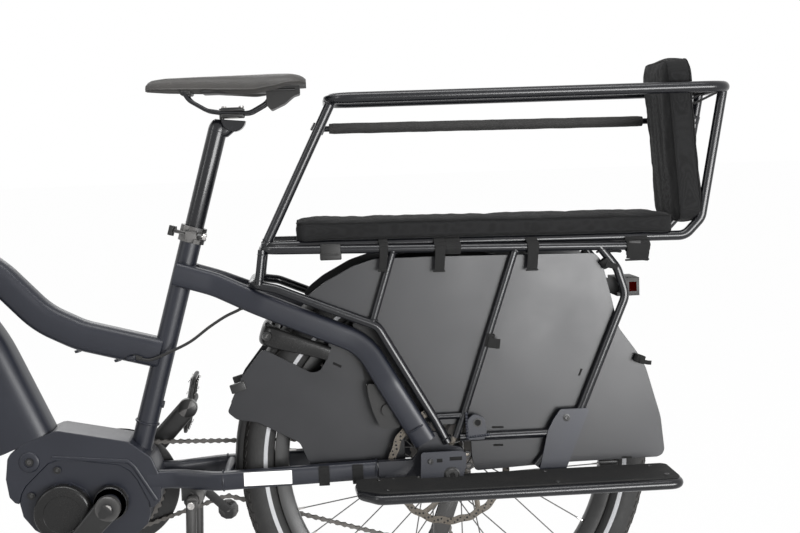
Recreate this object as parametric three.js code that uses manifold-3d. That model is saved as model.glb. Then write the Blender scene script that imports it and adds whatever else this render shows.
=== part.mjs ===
// Longtail cargo bicycle: a step-through frame, a railed rear bench, footboards and a two-leg stand.
// Millimetres, +Z up. The bicycle faces -X and its left side is -Y. Inside the group x is measured
// from the rear axle and z from the ground.
import * as THREE from 'three';
import { mergeVertices } from 'three/addons/utils/BufferGeometryUtils.js';
import Module from 'manifold-3d';

const wasm = await Module();
wasm.setup();

// Driving sizes
const wheelbase = 1240;
const tyreRadius = 342;
const tyreHeight = 56;
const tyreWidth = 57;
const fitGap = 0.3;
const sheetThickness = 3;
const cutOverrun = 12;

// How finely round shapes are faceted
const wheelSides = 28;
const discSides = 12;
const tubeSides = 8;
const rodSides = 6;
const bendStep = Math.PI / 6;
const cornerStep = Math.PI / 2;
const weldDistance = 0.001;
const nearlyAcross = 0.9;
const smoothing = 0.01;

const left = -1;
const right = 1;
const up = new THREE.Vector3(0, 0, 1);
const across = new THREE.Vector3(0, 1, 0);
const along = new THREE.Vector3(1, 0, 0);

const at = (x, y, z) => new THREE.Vector3(x, y, z);
const flat = (x, z) => new THREE.Vector2(x, z);
const mix = (a, b, share) => a.clone().lerp(b, share);
const radians = (angle) => THREE.MathUtils.degToRad(angle);

// A route of points with ready stations, so that straight runs cost no extra facets
class Route extends THREE.Curve {
  constructor(stations, side) {
    super();
    this.stations = stations;
    this.side = side;
  }

  getPoint(share) {
    const place = share * (this.stations.length - 1);
    const first = Math.min(Math.floor(place), this.stations.length - 2);
    return mix(this.stations[first], this.stations[first + 1], place - first);
  }

  getSpacedPoints() {
    return this.stations;
  }

  computeFrenetFrames() {
    const last = this.stations.length - 1;
    const heading = (i) => this.stations[i + 1].clone().sub(this.stations[i]).normalize();
    const tangents = this.stations.map((_, i) => {
      const ahead = heading(Math.min(i, last - 1));
      return ahead.add(heading(Math.max(i - 1, 0))).normalize();
    });
    const normals = [];
    const normal = this.side.clone();
    for (const tangent of tangents) {
      normal.addScaledVector(tangent, -normal.dot(tangent)).normalize();
      normals.push(normal.clone());
    }
    const binormals = tangents.map((tangent, i) => tangent.clone().cross(normals[i]));
    return { tangents, normals, binormals };
  }
}

// A closed three.js geometry as a solid that can be joined and cut
function toSolid(geometry) {
  geometry.deleteAttribute('normal');
  geometry.deleteAttribute('uv');
  const merged = mergeVertices(geometry, weldDistance);
  const corners = merged.index.array;
  const places = merged.attributes.position.array;
  const triVerts = [];
  let volume = 0;
  const [a, b, c] = [at(0, 0, 0), at(0, 0, 0), at(0, 0, 0)];
  for (let i = 0; i < corners.length; i += 3) {
    const [p, q, r] = [corners[i], corners[i + 1], corners[i + 2]];
    if (p !== q && q !== r && r !== p) {
      triVerts.push(p, q, r);
      volume += a.fromArray(places, 3 * p).dot(
        b.fromArray(places, 3 * q).cross(c.fromArray(places, 3 * r))
      );
    }
  }
  if (volume < 0) triVerts.reverse();
  return new wasm.Manifold(new wasm.Mesh({
    numProp: 3,
    vertProperties: new Float32Array(places),
    triVerts: new Uint32Array(triVerts),
  }));
}

// Joins solids into one
function join(...solids) {
  return solids.reduce((whole, next) => whole.add(next));
}

// Takes every cutter out of a solid
function cut(solid, ...cutters) {
  return cutters.reduce((rest, cutter) => rest.subtract(cutter), solid);
}

// The largest body that is left of a solid once its mitred ends are cut off
function mainBody(solid) {
  return solid.decompose().reduce((best, next) => (next.volume() > best.volume() ? next : best));
}

// Replaces the inner corners of a run of points by round bends of one radius
function roundCorners(points, radius, closed = false, step = bendStep) {
  const count = points.length;
  return points.flatMap((corner, i) => {
    if (!closed && (i === 0 || i === count - 1)) return [corner.clone()];
    const before = points[(i + count - 1) % count].clone().sub(corner);
    const after = points[(i + 1) % count].clone().sub(corner);
    const turn = Math.PI - before.angleTo(after);
    if (turn < step / 4) return [corner.clone()];
    const room = Math.min(before.length(), after.length()) / 2;
    const reach = Math.min(radius * Math.tan(turn / 2), room);
    const start = corner.clone().add(before.setLength(reach));
    const end = corner.clone().add(after.setLength(reach));
    return new THREE.QuadraticBezierCurve3(start, corner, end).getPoints(
      Math.max(closed ? 1 : 2, Math.ceil(turn / step))
    );
  });
}

// Round section of a tube
function circle(radius, sides = tubeSides) {
  const points = [];
  for (let i = 0; i < sides; i += 1) {
    const angle = ((i + 0.5) / sides) * 2 * Math.PI;
    points.push(flat(radius * Math.cos(angle), radius * Math.sin(angle)));
  }
  return new THREE.Shape(points);
}

// Distance from a tube's middle line to its flats
function flatReach(radius, sides = tubeSides) {
  return radius * Math.cos(Math.PI / sides);
}

// Closed outline through corner points, with its corners rounded
function outline(points, radius = 0) {
  const corners = points.map((point) => at(point.x, point.y, 0));
  const rounded = radius > 0 ? roundCorners(corners, radius, true, cornerStep) : corners;
  return new THREE.Shape(rounded.map((point) => flat(point.x, point.y)));
}

// Rectangular section, the first size across the route and the second in its plane
function boxSection(width, depth, cornerRadius) {
  const halfWidth = width / 2;
  const halfDepth = depth / 2;
  return outline([
    flat(-halfWidth, -halfDepth), flat(halfWidth, -halfDepth), flat(halfWidth, halfDepth), flat(
      -halfWidth, halfDepth,
    ),
  ], cornerRadius);
}

// Section swept along stations; side is the direction of the section's width
function sweep(stations, section, side = across) {
  const steps = stations.length - 1;
  return toSolid(new THREE.ExtrudeGeometry(section, { steps, extrudePath: new Route(stations, side) }));
}

// Straight rod or disc between two points
function rod(from, to, radius, sides = tubeSides) {
  const side = Math.abs(to.clone().sub(from).normalize().y) > nearlyAcross ? along : across;
  return sweep([from, to], circle(radius, sides), side);
}

// Bore radius that lets a faceted shaft turn with a gap at its flats
function boreAround(shaftRadius, sides = discSides) {
  return shaftRadius / Math.cos(Math.PI / sides) + fitGap;
}

// Outline in the plane of x and z, given a thickness across the bicycle and a middle y
function plate(shape, thickness, middleY) {
  const geometry = new THREE.ExtrudeGeometry(
    shape, { depth: thickness, bevelEnabled: false, curveSegments: 6 },
  );
  geometry.rotateX(Math.PI / 2);
  geometry.translate(0, middleY + thickness / 2, 0);
  return toSolid(geometry);
}

// Box by its middle and its sizes
function block(middle, sizeX, sizeY, sizeZ) {
  const geometry = new THREE.BoxGeometry(sizeX, sizeY, sizeZ);
  geometry.translate(middle.x, middle.y, middle.z);
  return toSolid(geometry);
}

// Closed profile of [radius, y] pairs turned about an axis across the bicycle
function turned(profile, x, z, sides = wheelSides) {
  const points = profile.map(([radius, y]) => flat(radius, y));
  const onAxis = points[0].x === 0;
  if (!onAxis) points.push(points[0].clone());
  const geometry = new THREE.LatheGeometry(points, sides);
  geometry.translate(x, 0, z);
  return toSolid(geometry);
}

// Rod across the bicycle between two y planes
function pin(x, z, fromY, toY, radius, sides = tubeSides) {
  return rod(at(x, fromY, z), at(x, toY, z), radius, sides);
}

// Corner points given as shares of a width and a height from an origin in the plane of x and z
function sharedPoints(origin, width, height, shares) {
  return shares.map(([x, z]) => flat(origin.x + width * x, origin.y + height * z));
}

const bicycle = new THREE.Group();

// Adds a solid to the bicycle as a named mesh with its own material
function addPart(name, solid, color, roughness, metalness) {
  const { vertProperties, triVerts } = solid.simplify(smoothing).getMesh();
  const geometry = new THREE.BufferGeometry();
  geometry.setAttribute('position', new THREE.BufferAttribute(vertProperties, 3));
  geometry.setIndex(new THREE.BufferAttribute(triVerts, 1));
  geometry.computeVertexNormals();
  const mesh = new THREE.Mesh(geometry, new THREE.MeshStandardMaterial({ color, roughness, metalness }));
  mesh.name = name;
  bicycle.add(mesh);
}

// Wheels
const rearAxle = flat(0, tyreRadius);
const frontAxle = flat(-wheelbase, tyreRadius);
const rim = { innerRadius: 262, width: 32, innerWidth: 18, wall: 4 };
const beadRadius = tyreRadius - tyreHeight;
const tyreSideShares = [[0, 0.5], [0.42, 1], [0.84, 0.72], [1, 0.26]];
const spoke = {
  radius: 1.1, sides: 3, pairs: 8, crossingAngle: 67.5, inset: 2.5, hubOffset: 2, rimOffset: 3,
  rimStagger: 1.2,
};
const axleRadius = 6;
const hub = {
  barrelRadius: 15, flangeRadius: 30, flangeThickness: 4, noseRadius: 17, bossRadius: 24, bossLength: 8,
};
const dropoutThickness = 8;
const rearHub = {
  width: 135, axleLength: 158, rotorY: -58, leftFlangeY: -34, rightFlangeY: 16, driveRadius: 17,
  driveLength: 46,
};
const frontHub = {
  width: 110, axleLength: 132, rotorY: -46, leftFlangeY: -30, rightFlangeY: 36, driveRadius: 15,
  driveLength: 12,
};
const rotor = {
  radius: 100.5, bandWidth: 15, thickness: 2, arms: 6, armWidth: 9, centreRadius: 31, sweepAngle: 26,
  sides: 20,
};
const rotorBore = hub.noseRadius + fitGap;

// Place on a wheel by radius, turning angle in degrees and y
function onWheel(axle, radius, angle, y) {
  return at(axle.x + radius * Math.sin(radians(angle)), y, axle.y + radius * Math.cos(radians(angle)));
}

function makeTyre(axle) {
  const side = tyreSideShares.map(
    ([rise, spread]) => [beadRadius + tyreHeight * rise, (tyreWidth / 2) * spread]
  );
  const otherSide = side.map(([radius, y]) => [radius, -y]).reverse();
  return turned([...side, ...otherSide], axle.x, axle.y);
}

function makeRim(axle) {
  const outerRadius = beadRadius - fitGap;
  const half = rim.width / 2;
  const halfInner = rim.innerWidth / 2;
  return turned([
    [rim.innerRadius, -halfInner], [outerRadius, -half], [outerRadius, half], [rim.innerRadius, halfInner],
  ], axle.x, axle.y);
}

function makeHub(axle, size) {
  const end = size.width / 2 - fitGap;
  const axleEnd = size.axleLength / 2;
  const rotorSeat = size.rotorY + rotor.thickness / 2 + fitGap;
  const { barrelRadius, flangeRadius, flangeThickness, noseRadius, bossRadius, bossLength } = hub;
  const rightFlangeEnd = size.rightFlangeY + flangeThickness;
  return turned([
    [0, -axleEnd], [axleRadius, -axleEnd], [axleRadius, -end], [noseRadius, -end],
    [noseRadius, rotorSeat], [bossRadius, rotorSeat], [bossRadius, rotorSeat + bossLength],
    [barrelRadius, rotorSeat + bossLength],
    [barrelRadius, size.leftFlangeY], [flangeRadius, size.leftFlangeY],
    [flangeRadius, size.leftFlangeY + flangeThickness], [barrelRadius, size.leftFlangeY + flangeThickness],
    [barrelRadius, size.rightFlangeY], [flangeRadius, size.rightFlangeY], [flangeRadius, rightFlangeEnd],
    [size.driveRadius, rightFlangeEnd], [size.driveRadius, rightFlangeEnd + size.driveLength],
    [axleRadius * 2, rightFlangeEnd + size.driveLength], [axleRadius * 2, end],
    [axleRadius, end], [axleRadius, axleEnd], [0, axleEnd],
  ], axle.x, axle.y, discSides);
}

// Crossed spokes between one hub flange and the rim
function makeSpokes(axle, flangeY, turnShare) {
  const pitch = 360 / (2 * spoke.pairs);
  const spokes = [];
  for (let i = 0; i < 2 * spoke.pairs; i += 1) {
    const hubAngle = pitch * (i + turnShare);
    const lean = i % 2 === 0 ? 1 : -1;
    const hubY = flangeY + hub.flangeThickness / 2 + lean * spoke.hubOffset;
    const rimY = Math.sign(flangeY) * spoke.rimOffset + lean * spoke.rimStagger;
    const from = onWheel(axle, hub.flangeRadius - spoke.inset, hubAngle, hubY);
    const to = onWheel(axle, rim.innerRadius + rim.wall, hubAngle + lean * spoke.crossingAngle, rimY);
    spokes.push(rod(from, to, spoke.radius, spoke.sides));
  }
  return join(...spokes);
}

function makeWheel(axle, size) {
  return join(
    makeRim(axle), makeHub(axle, size), makeSpokes(axle, size.leftFlangeY, 0), makeSpokes(
      axle, size.rightFlangeY, 0.5,
    ),
  );
}

// Brake disc: a band, a centre ring and swept arms
function makeRotor(axle, middleY) {
  const ring = (inner, outer, sides) => {
    const [low, high] = [middleY - rotor.thickness / 2, middleY + rotor.thickness / 2];
    return turned([[inner, low], [outer, low], [outer, high], [inner, high]], axle.x, axle.y, sides);
  };
  const bandMiddle = rotor.radius - rotor.bandWidth / 2;
  const section = boxSection(rotor.thickness, rotor.armWidth, 0);
  const arms = [];
  for (let i = 0; i < rotor.arms; i += 1) {
    const angle = (360 / rotor.arms) * i;
    const from = onWheel(axle, (rotorBore + rotor.centreRadius) / 2, angle, middleY);
    arms.push(sweep([from, onWheel(axle, bandMiddle, angle + rotor.sweepAngle, middleY)], section));
  }
  const bore = pin(axle.x, axle.y, middleY - cutOverrun, middleY + cutOverrun, rotorBore, discSides);
  const centre = ring(rotorBore, rotor.centreRadius, discSides);
  return join(
    ring(rotor.radius - rotor.bandWidth, rotor.radius, rotor.sides), centre, cut(join(...arms), bore),
  );
}

// Main tubes of the frame, each with a grow value that widens it to cut its neighbours
const headAngle = 69.5;
const forkOffset = 45;
const steerAxis = at(Math.cos(radians(headAngle)), 0, Math.sin(radians(headAngle)));
const steerFoot = at(
  frontAxle.x + forkOffset * Math.sin(radians(headAngle)), 0,
  frontAxle.y - forkOffset * Math.cos(radians(headAngle)),
);
const onSteerAxis = (distance) => steerFoot.clone().addScaledVector(steerAxis, distance);
const headTube = { start: 443, length: 120, radius: 23, boreRadius: 17 };
const steererRadius = flatReach(headTube.boreRadius, discSides) - fitGap;

function headTubeBody(grow) {
  const from = onSteerAxis(headTube.start - grow);
  return rod(from, onSteerAxis(headTube.start + headTube.length + grow), headTube.radius + grow, discSides);
}

const seatTube = {
  radius: 17.45, boreRadius: 15.75, tilt: 16.2, topX: -406, topZ: 720, footZ: 372, collarHeight: 25,
};
const seatAxis = at(Math.sin(radians(seatTube.tilt)), 0, Math.cos(radians(seatTube.tilt)));
function onSeatAxis(z) {
  return at(seatTube.topX + (z - seatTube.topZ) * Math.tan(radians(seatTube.tilt)), 0, z);
}

function seatTubeBody(grow) {
  const top = seatTube.topZ + seatTube.collarHeight;
  return rod(onSeatAxis(seatTube.footZ - grow), onSeatAxis(top + grow), seatTube.radius + grow, discSides);
}

const topTube = { width: 44, depth: 50, cornerRadius: 15, bendRadius: 160 };
const topTubeRoute = [
  { x: -1012, z: 826 }, { x: -900, z: 795 }, { x: -800, z: 745 }, { x: -712, z: 673 }, { x: -650, z: 606 },
  { x: -590, z: 575 }, { x: -463, z: 540 },
];
const downTube = { width: 78, depth: 98, cornerRadius: 20, bendRadius: 260, forkRoom: 3 };
const downTubeRoute = [
  { x: -1024, z: 775 }, { x: -930, z: 718 }, { x: -830, z: 652 }, { x: -757, z: 570 }, { x: -686, z: 405 },
];
const stay = {
  width: 24, depth: 38, cornerRadius: 9, bendRadius: 90, headY: 29, y: 52, kneeY: 58, footY: 74,
};
const stayHeadRadius = 21;
const stayRoute = [
  { x: -418, z: 668, y: stay.headY }, { x: -366, z: 651, y: stay.headY }, { x: -300, z: 621, y: stay.y },
  { x: -132, z: 548, y: stay.kneeY }, { x: -95, z: 483, y: stay.footY }, { x: -40, z: 387, y: stay.footY },
];
const chainstay = { width: 22, depth: 30, cornerRadius: 8, bendRadius: 60, innerY: 30, y: 58 };
const chainstayRoute = [
  { x: -500, z: 337, y: chainstay.innerY }, { x: -445, z: 336, y: chainstay.innerY },
  { x: -378, z: 335, y: chainstay.y }, { x: -117, z: 341, y: chainstay.y },
];

// Stations of a tube whose route lies on one side or in the middle plane
function tubeStations(route, size, side = 0) {
  return roundCorners(route.map((point) => at(point.x, side * (point.y ?? 0), point.z)), size.bendRadius);
}

function tubeBody(route, size, side, grow) {
  const section = boxSection(size.width + 2 * grow, size.depth + 2 * grow, size.cornerRadius + grow);
  return sweep(tubeStations(route, size, side), section);
}

const topTubeBody = (grow) => tubeBody(topTubeRoute, topTube, 0, grow);
const downTubeBody = (grow) => tubeBody(downTubeRoute, downTube, 0, grow);
const stayBody = (side, grow) => tubeBody(stayRoute, stay, side, grow);
const chainstayBody = (side, grow) => tubeBody(chainstayRoute, chainstay, side, grow);

// Rear brake hose between its two ports
const port = { frontX: -513, outerY: -29, z: 537, radius: 4.5, reach: 14, endGap: 0.8 };
const brakeHose = { radius: 2.4, sides: 8, steps: 16 };
const brakeHoseRoute = [
  [-499, -25, 537], [-477, -27, 533], [-443, -31, 546], [-411, -34, 561], [-379, -38, 584], [
    -353, -41, 600,
  ],
  [-333, -43, 609],
].map(([x, y, z]) => at(x, y, z));

// Mudguards, with their ends as angles from straight up
const mudguard = { innerRadius: 349, thickness: 2.4, halfWidth: 31, sideDrop: 15, crownDrop: 4, step: 11 };
const mudguardOuter = mudguard.innerRadius + mudguard.thickness;
const frontFender = { from: -30, to: 118, tabAngle: 26.5 };
const rearFender = { from: -92, to: 78 };

// Drive unit in its cast frame shell
const bottomBracket = { x: -550, z: 306 };
const shell = { width: 80, frontX: -716, rearX: -468, bottomZ: 292, topZ: 427, cornerRadius: 12 };
const shellShares = [
  [0.02, 0.16], [0, 0.44], [0.02, 0.72], [0.12, 0.85], [0.34, 1], [0.8, 0.82], [0.94, 0.62], [1, 0.34], [
    0.98, 0,
  ],
  [0.7, 0], [0.3, 0],
];
const motor = { width: 74, frontX: -704, rearX: -486, bottomZ: 236, topZ: 382, cornerRadius: 26 };
const motorShares = [
  [0.02, 0.42], [0.06, 0.66], [0.3, 1], [0.82, 0.87], [0.9, 0.7], [1, 0.38], [0.94, 0.1], [0.6, 0], [
    0.16, 0.14,
  ],
];
const motorCover = { x: -625, z: 294, radius: 47, height: 13, bossRadius: 27, bossHeight: 20 };
const spindleRadius = 9;

function boxedOutline(size, shares, grow) {
  const origin = flat(size.frontX - grow, size.bottomZ - grow);
  const width = size.rearX - size.frontX + 2 * grow;
  return outline(
    sharedPoints(origin, width, size.topZ - size.bottomZ + 2 * grow, shares), size.cornerRadius,
  );
}

function motorBody(grow) {
  const half = motor.width / 2;
  const body = plate(boxedOutline(motor, motorShares, grow), motor.width + 2 * grow, 0);
  const cover = pin(motorCover.x, motorCover.z, -half - motorCover.height, 0, motorCover.radius, discSides);
  const bossFrom = -half - motorCover.bossHeight;
  const boss = pin(bottomBracket.x, bottomBracket.z, bossFrom, 0, motorCover.bossRadius + grow, discSides);
  return join(body, cover, boss);
}

function shellBody(grow) {
  return plate(boxedOutline(shell, shellShares, grow), shell.width + 2 * grow, 0);
}

// Rear dropouts
const hubHalf = rearHub.width / 2 + fitGap;
const dropout = {
  frontX: -62, rearX: 24, bottomZ: 322, topZ: 402, cornerRadius: 6, armStartX: -116.7, armInnerY: 61.5,
  armBottomZ: 327, armTopZ: 357,
};
const dropoutShares = [
  [0, 0.06], [0, 0.44], [0.12, 0.58], [0.14, 1], [0.56, 1], [0.68, 0.72], [0.98, 0.65], [1, 0.1], [0.88, 0],
  [
    0.5, 0,
  ],
];
const footTab = { frontX: -106, rearX: -74, reachY: 112, thickness: 4 };
const dropoutMiddleY = hubHalf + dropoutThickness / 2;
const dropoutOuterY = hubHalf + dropoutThickness;
const footboard = {
  innerY: 95, outerY: 190, frontX: -160, outerFrontX: -125, rearX: 350, bottomZ: 333, thickness: 4,
  tubeRadius: 6, bendRadius: 26, tubeInset: 4,
};

// Box between two corner places given by signed sides
function boxBetween(fromX, toX, fromY, toY, fromZ, toZ) {
  const middle = at((fromX + toX) / 2, (fromY + toY) / 2, (fromZ + toZ) / 2);
  return block(middle, Math.abs(toX - fromX), Math.abs(toY - fromY), Math.abs(toZ - fromZ));
}

function dropoutBody(side, grow) {
  const body = plate(
    boxedOutline(dropout, dropoutShares, grow), dropoutThickness + 2 * grow, side * dropoutMiddleY,
  );
  const arm = boxBetween(
    dropout.armStartX, dropout.frontX + dropoutThickness,
    side * dropout.armInnerY, side * dropoutOuterY, dropout.armBottomZ, dropout.armTopZ,
  );
  const tabTop = footboard.bottomZ - fitGap;
  const tab = boxBetween(
    footTab.frontX, footTab.rearX, side * dropoutMiddleY, side * footTab.reachY, tabTop - footTab.thickness,
    tabTop,
  );
  return join(body, arm, tab);
}

// Rack tubes
const rack = {
  radius: 7, halfWidth: 78, frontX: -287, rearX: 336, frontZ: 707, rearZ: 690, bendRadius: 32,
};
const rackZ = (x) => rack.frontZ + ((x - rack.frontX) * (rack.rearZ - rack.frontZ)) / (
  rack.rearX - rack.frontX
);
const brace = { radius: 7.5, frontX: -306, frontZ: 652, bendRadius: 30 };
const braceRoute = [
  { x: -268, z: 645 }, { x: -181, z: 608 }, { x: -110, z: 579 }, { x: -23, z: 423 }, { x: -4, z: 384 },
];
const frontStrut = { radius: 6.5, topX: -288, bottomX: -296, bottomZ: 650 };
const foreStrut = { radius: 6, topX: -80, bottomX: -118, bottomZ: 584 };
const midStrut = { radius: 6, topX: 116, kneeX: 24, kneeZ: 429, footX: 10, footZ: 392, bendRadius: 20 };
const midBrace = { frontX: -30, z: 427 };
const rearLegRoute = [
  { x: 252, z: 692 }, { x: 280, z: 656 }, { x: 294, z: 612 }, { x: 216, z: 429 }, { x: 138, z: 334 },
];
const rearLeg = { bendRadius: 34, lowBarFrontX: 16, lowBarRearX: 190, lowBarZ: 391 };

// Closed loop of tube made of two overlapping halves, mirrored about the middle plane
function loop(frontX, rearX, zAt, halfWidth, bendRadius, radius) {
  const middle = (frontX + rearX) / 2;
  const halfLoop = (endX, reach) => sweep(roundCorners([
    at(middle + reach, -halfWidth, zAt(middle + reach)), at(endX, -halfWidth, zAt(endX)),
    at(endX, halfWidth, zAt(endX)), at(middle + reach, halfWidth, zAt(middle + reach)),
  ], bendRadius), circle(radius), up);
  return join(halfLoop(frontX, radius), halfLoop(rearX, -radius));
}

function rackLoopBody(grow) {
  return loop(rack.frontX, rack.rearX, rackZ, rack.halfWidth, rack.bendRadius, rack.radius + grow);
}

function braceSide(side) {
  return braceRoute.map((point) => at(point.x, side * rack.halfWidth, point.z));
}

function braceBody(grow) {
  const corner = (side) => at(brace.frontX, side * rack.halfWidth, brace.frontZ);
  const points = [...braceSide(left).reverse(), corner(left), corner(right), ...braceSide(right)];
  const tube = sweep(
    roundCorners(points, brace.bendRadius), circle(brace.radius + grow), across.clone().add(up),
  );
  const struts = [left, right].map((side) => rod(
    at(frontStrut.topX, side * (rack.halfWidth - rack.bendRadius / 4), rackZ(frontStrut.topX)),
    at(frontStrut.bottomX, side * (rack.halfWidth - rack.bendRadius / 4), frontStrut.bottomZ),
    frontStrut.radius + grow, rodSides,
  ));
  return join(tube, ...struts);
}

function midStrutBody(side, grow) {
  const y = side * rack.halfWidth;
  const route = [
    at(midStrut.topX, y, rackZ(midStrut.topX)), at(midStrut.kneeX, y, midStrut.kneeZ), at(
      midStrut.footX, y, midStrut.footZ,
    ),
  ];
  const tube = sweep(roundCorners(route, midStrut.bendRadius), circle(midStrut.radius + grow, rodSides));
  const tie = rod(
    at(midBrace.frontX, y, midBrace.z), at(midStrut.kneeX, y, midBrace.z), midStrut.radius + grow, rodSides,
  );
  return join(tube, tie);
}

function rearLegTube(side, grow) {
  const route = rearLegRoute.map((point) => at(point.x, side * rack.halfWidth, point.z));
  return sweep(roundCorners(route, rearLeg.bendRadius), circle(rack.radius + grow));
}

// Railed cage above the bench
const cage = {
  railRadius: 9, railZ: 941, railFrontX: -173, railRearX: 470, halfWidth: 82, railBend: 45, tubeRadius: 8,
  tubeY: 61,
  bendRadius: 26,
};
const cageRoute = [
  { x: -170, z: 941 }, { x: -283, z: 713 }, { x: 396, z: 703 }, { x: 430, z: 738 }, { x: 463, z: 941 },
];

function cageRailBody(grow) {
  return loop(
    cage.railFrontX, cage.railRearX, () => cage.railZ, cage.halfWidth, cage.railBend,
    cage.railRadius + grow,
  );
}

function cageSideBody(side, grow) {
  const route = cageRoute.map((point) => at(point.x, side * cage.tubeY, point.z));
  return sweep(roundCorners(route, cage.bendRadius), circle(cage.tubeRadius + grow));
}

// Finishes of the painted, bare and soft pieces
const blackFrame = 0x232428;
const blackTube = 0x1b1c1f;
const blackSheet = 0x202124;
const blackRubber = 0x151515;
const blackPlastic = 0x1a1a1b;
const steelGrey = 0x6f7072;
const blackCloth = 0x1d1d1f;
const brownVinyl = 0x2a2725;
const redLens = 0xa01818;

const sides = [{ name: 'left', sign: left }, { name: 'right', sign: right }];
const grownHead = headTubeBody(fitGap);
const grownSeatTube = seatTubeBody(fitGap);
const grownTopTube = topTubeBody(fitGap);
const grownShell = shellBody(fitGap);
const grownMotor = motorBody(fitGap);
const forkSpace = rod(
  onSteerAxis(0), onSteerAxis(headTube.start + downTube.forkRoom), downTube.depth, wheelSides,
);

function addMainFrame() {
  const { start, length, boreRadius } = headTube;
  const bore = rod(
    onSteerAxis(start - cutOverrun), onSteerAxis(start + length + cutOverrun), boreRadius, discSides,
  );
  addPart('head_tube', cut(headTubeBody(0), bore), blackFrame, 0.5, 0.3);
  const top = seatTube.topZ + seatTube.collarHeight;
  const seatBore = rod(
    onSeatAxis(seatTube.footZ + cutOverrun), onSeatAxis(top + cutOverrun), seatTube.boreRadius, discSides,
  );
  addPart('seat_tube', cut(seatTubeBody(0), seatBore), blackFrame, 0.5, 0.3);
  const hosePort = boxBetween(
    port.frontX, brakeHoseRoute[0].x - port.endGap, -topTube.width / 4, port.outerY, port.z - port.radius,
    port.z + port.radius,
  );
  addPart(
    'top_tube', mainBody(cut(join(topTubeBody(0), hosePort), grownHead, grownSeatTube)), blackFrame, 0.5,
    0.3,
  );
  addPart(
    'down_tube', mainBody(cut(downTubeBody(0), grownHead, grownTopTube, grownShell, forkSpace)), blackFrame,
    0.5, 0.3,
  );
  const archWidth = shell.width + 2 * cutOverrun;
  const arch = plate(boxedOutline(motor, motorShares, fitGap), archWidth, 0);
  const shellCast = cut(shellBody(0), arch, grownMotor, grownSeatTube);
  addPart('motor_shell', mainBody(shellCast), blackFrame, 0.5, 0.3);
  const spindleBore = pin(
    bottomBracket.x, bottomBracket.z, -motor.width, motor.width, boreAround(spindleRadius), discSides,
  );
  addPart('motor_unit', cut(motorBody(0), spindleBore), blackPlastic, 0.5, 0);
}

// Rear brake hose between its ports, and the ports themselves

function hoseStations() {
  return new THREE.CatmullRomCurve3(brakeHoseRoute).getPoints(brakeHose.steps);
}

function addStays() {
  for (const { name, sign } of sides) {
    const dropoutCutter = dropoutBody(sign, fitGap);
    const headCap = pin(
      stayRoute[0].x, stayRoute[0].z, 0, sign * (stay.headY + stay.width / 2), stayHeadRadius,
    );
    let upper = join(stayBody(sign, 0), headCap);
    if (sign === left) {
      const stations = hoseStations();
      const end = stations.at(-1);
      const heading = end.clone().sub(stations.at(-2)).normalize();
      const from = end.clone().addScaledVector(heading, fitGap);
      upper = join(upper, rod(from, from.clone().addScaledVector(heading, port.reach), port.radius));
    }
    const centreHalf = plateAcrossMiddle();
    addPart(
      `stay_${name}`, mainBody(cut(upper, grownSeatTube, dropoutCutter, centreHalf)), blackFrame, 0.5, 0.3,
    );
    const chainstayCutters = [grownShell, grownMotor, dropoutCutter, grownSeatTube];
    let lower = chainstayBody(sign, 0);
    if (sign === left) lower = join(lower, bridgeBody(0));
    else chainstayCutters.push(join(chainstayBody(left, fitGap), bridgeBody(fitGap)));
    addPart(`chainstay_${name}`, mainBody(cut(lower, ...chainstayCutters)), blackFrame, 0.5, 0.3);
    const axleBore = pin(
      rearAxle.x, rearAxle.y, 0, sign * 2 * dropoutOuterY, axleRadius + fitGap, discSides,
    );
    addPart(`dropout_${name}`, cut(dropoutBody(sign, 0), axleBore), steelGrey, 0.45, 0.6);
  }
}

// Thin slab that keeps the two sides apart at the middle plane
function plateAcrossMiddle() {
  const reach = wheelbase;
  return boxBetween(-reach, reach, -fitGap / 2, fitGap / 2, 0, reach);
}

// Bridge between the chainstays in front of the rear mudguard
const bridgeRadius = 8;

function bridgeBody(grow) {
  const x = -(mudguardOuter + flatReach(bridgeRadius) + fitGap);
  const reach = chainstay.y - chainstay.width / 4;
  return pin(x, tyreRadius - chainstay.cornerRadius, -reach, reach, bridgeRadius + grow);
}

// Mudguard along an arc of turning angles, with a rounded channel section
function mudguardBody(axle, fromAngle, toAngle) {
  const count = Math.round((toAngle - fromAngle) / mudguard.step);
  const stations = [];
  for (let i = 0; i <= count; i += 1) {
    stations.push(onWheel(axle, mudguardOuter, fromAngle + ((toAngle - fromAngle) * i) / count, 0));
  }
  const { halfWidth, sideDrop, crownDrop, thickness } = mudguard;
  const inner = halfWidth - thickness;
  const section = new THREE.Shape([
    flat(-halfWidth, -sideDrop), flat(-inner, -sideDrop), flat(-inner / 2, -crownDrop), flat(
      inner / 2, -crownDrop,
    ),
    flat(inner, -sideDrop), flat(halfWidth, -sideDrop), flat(halfWidth / 2, 0), flat(-halfWidth / 2, 0),
  ]);
  return sweep(stations, section);
}

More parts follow.
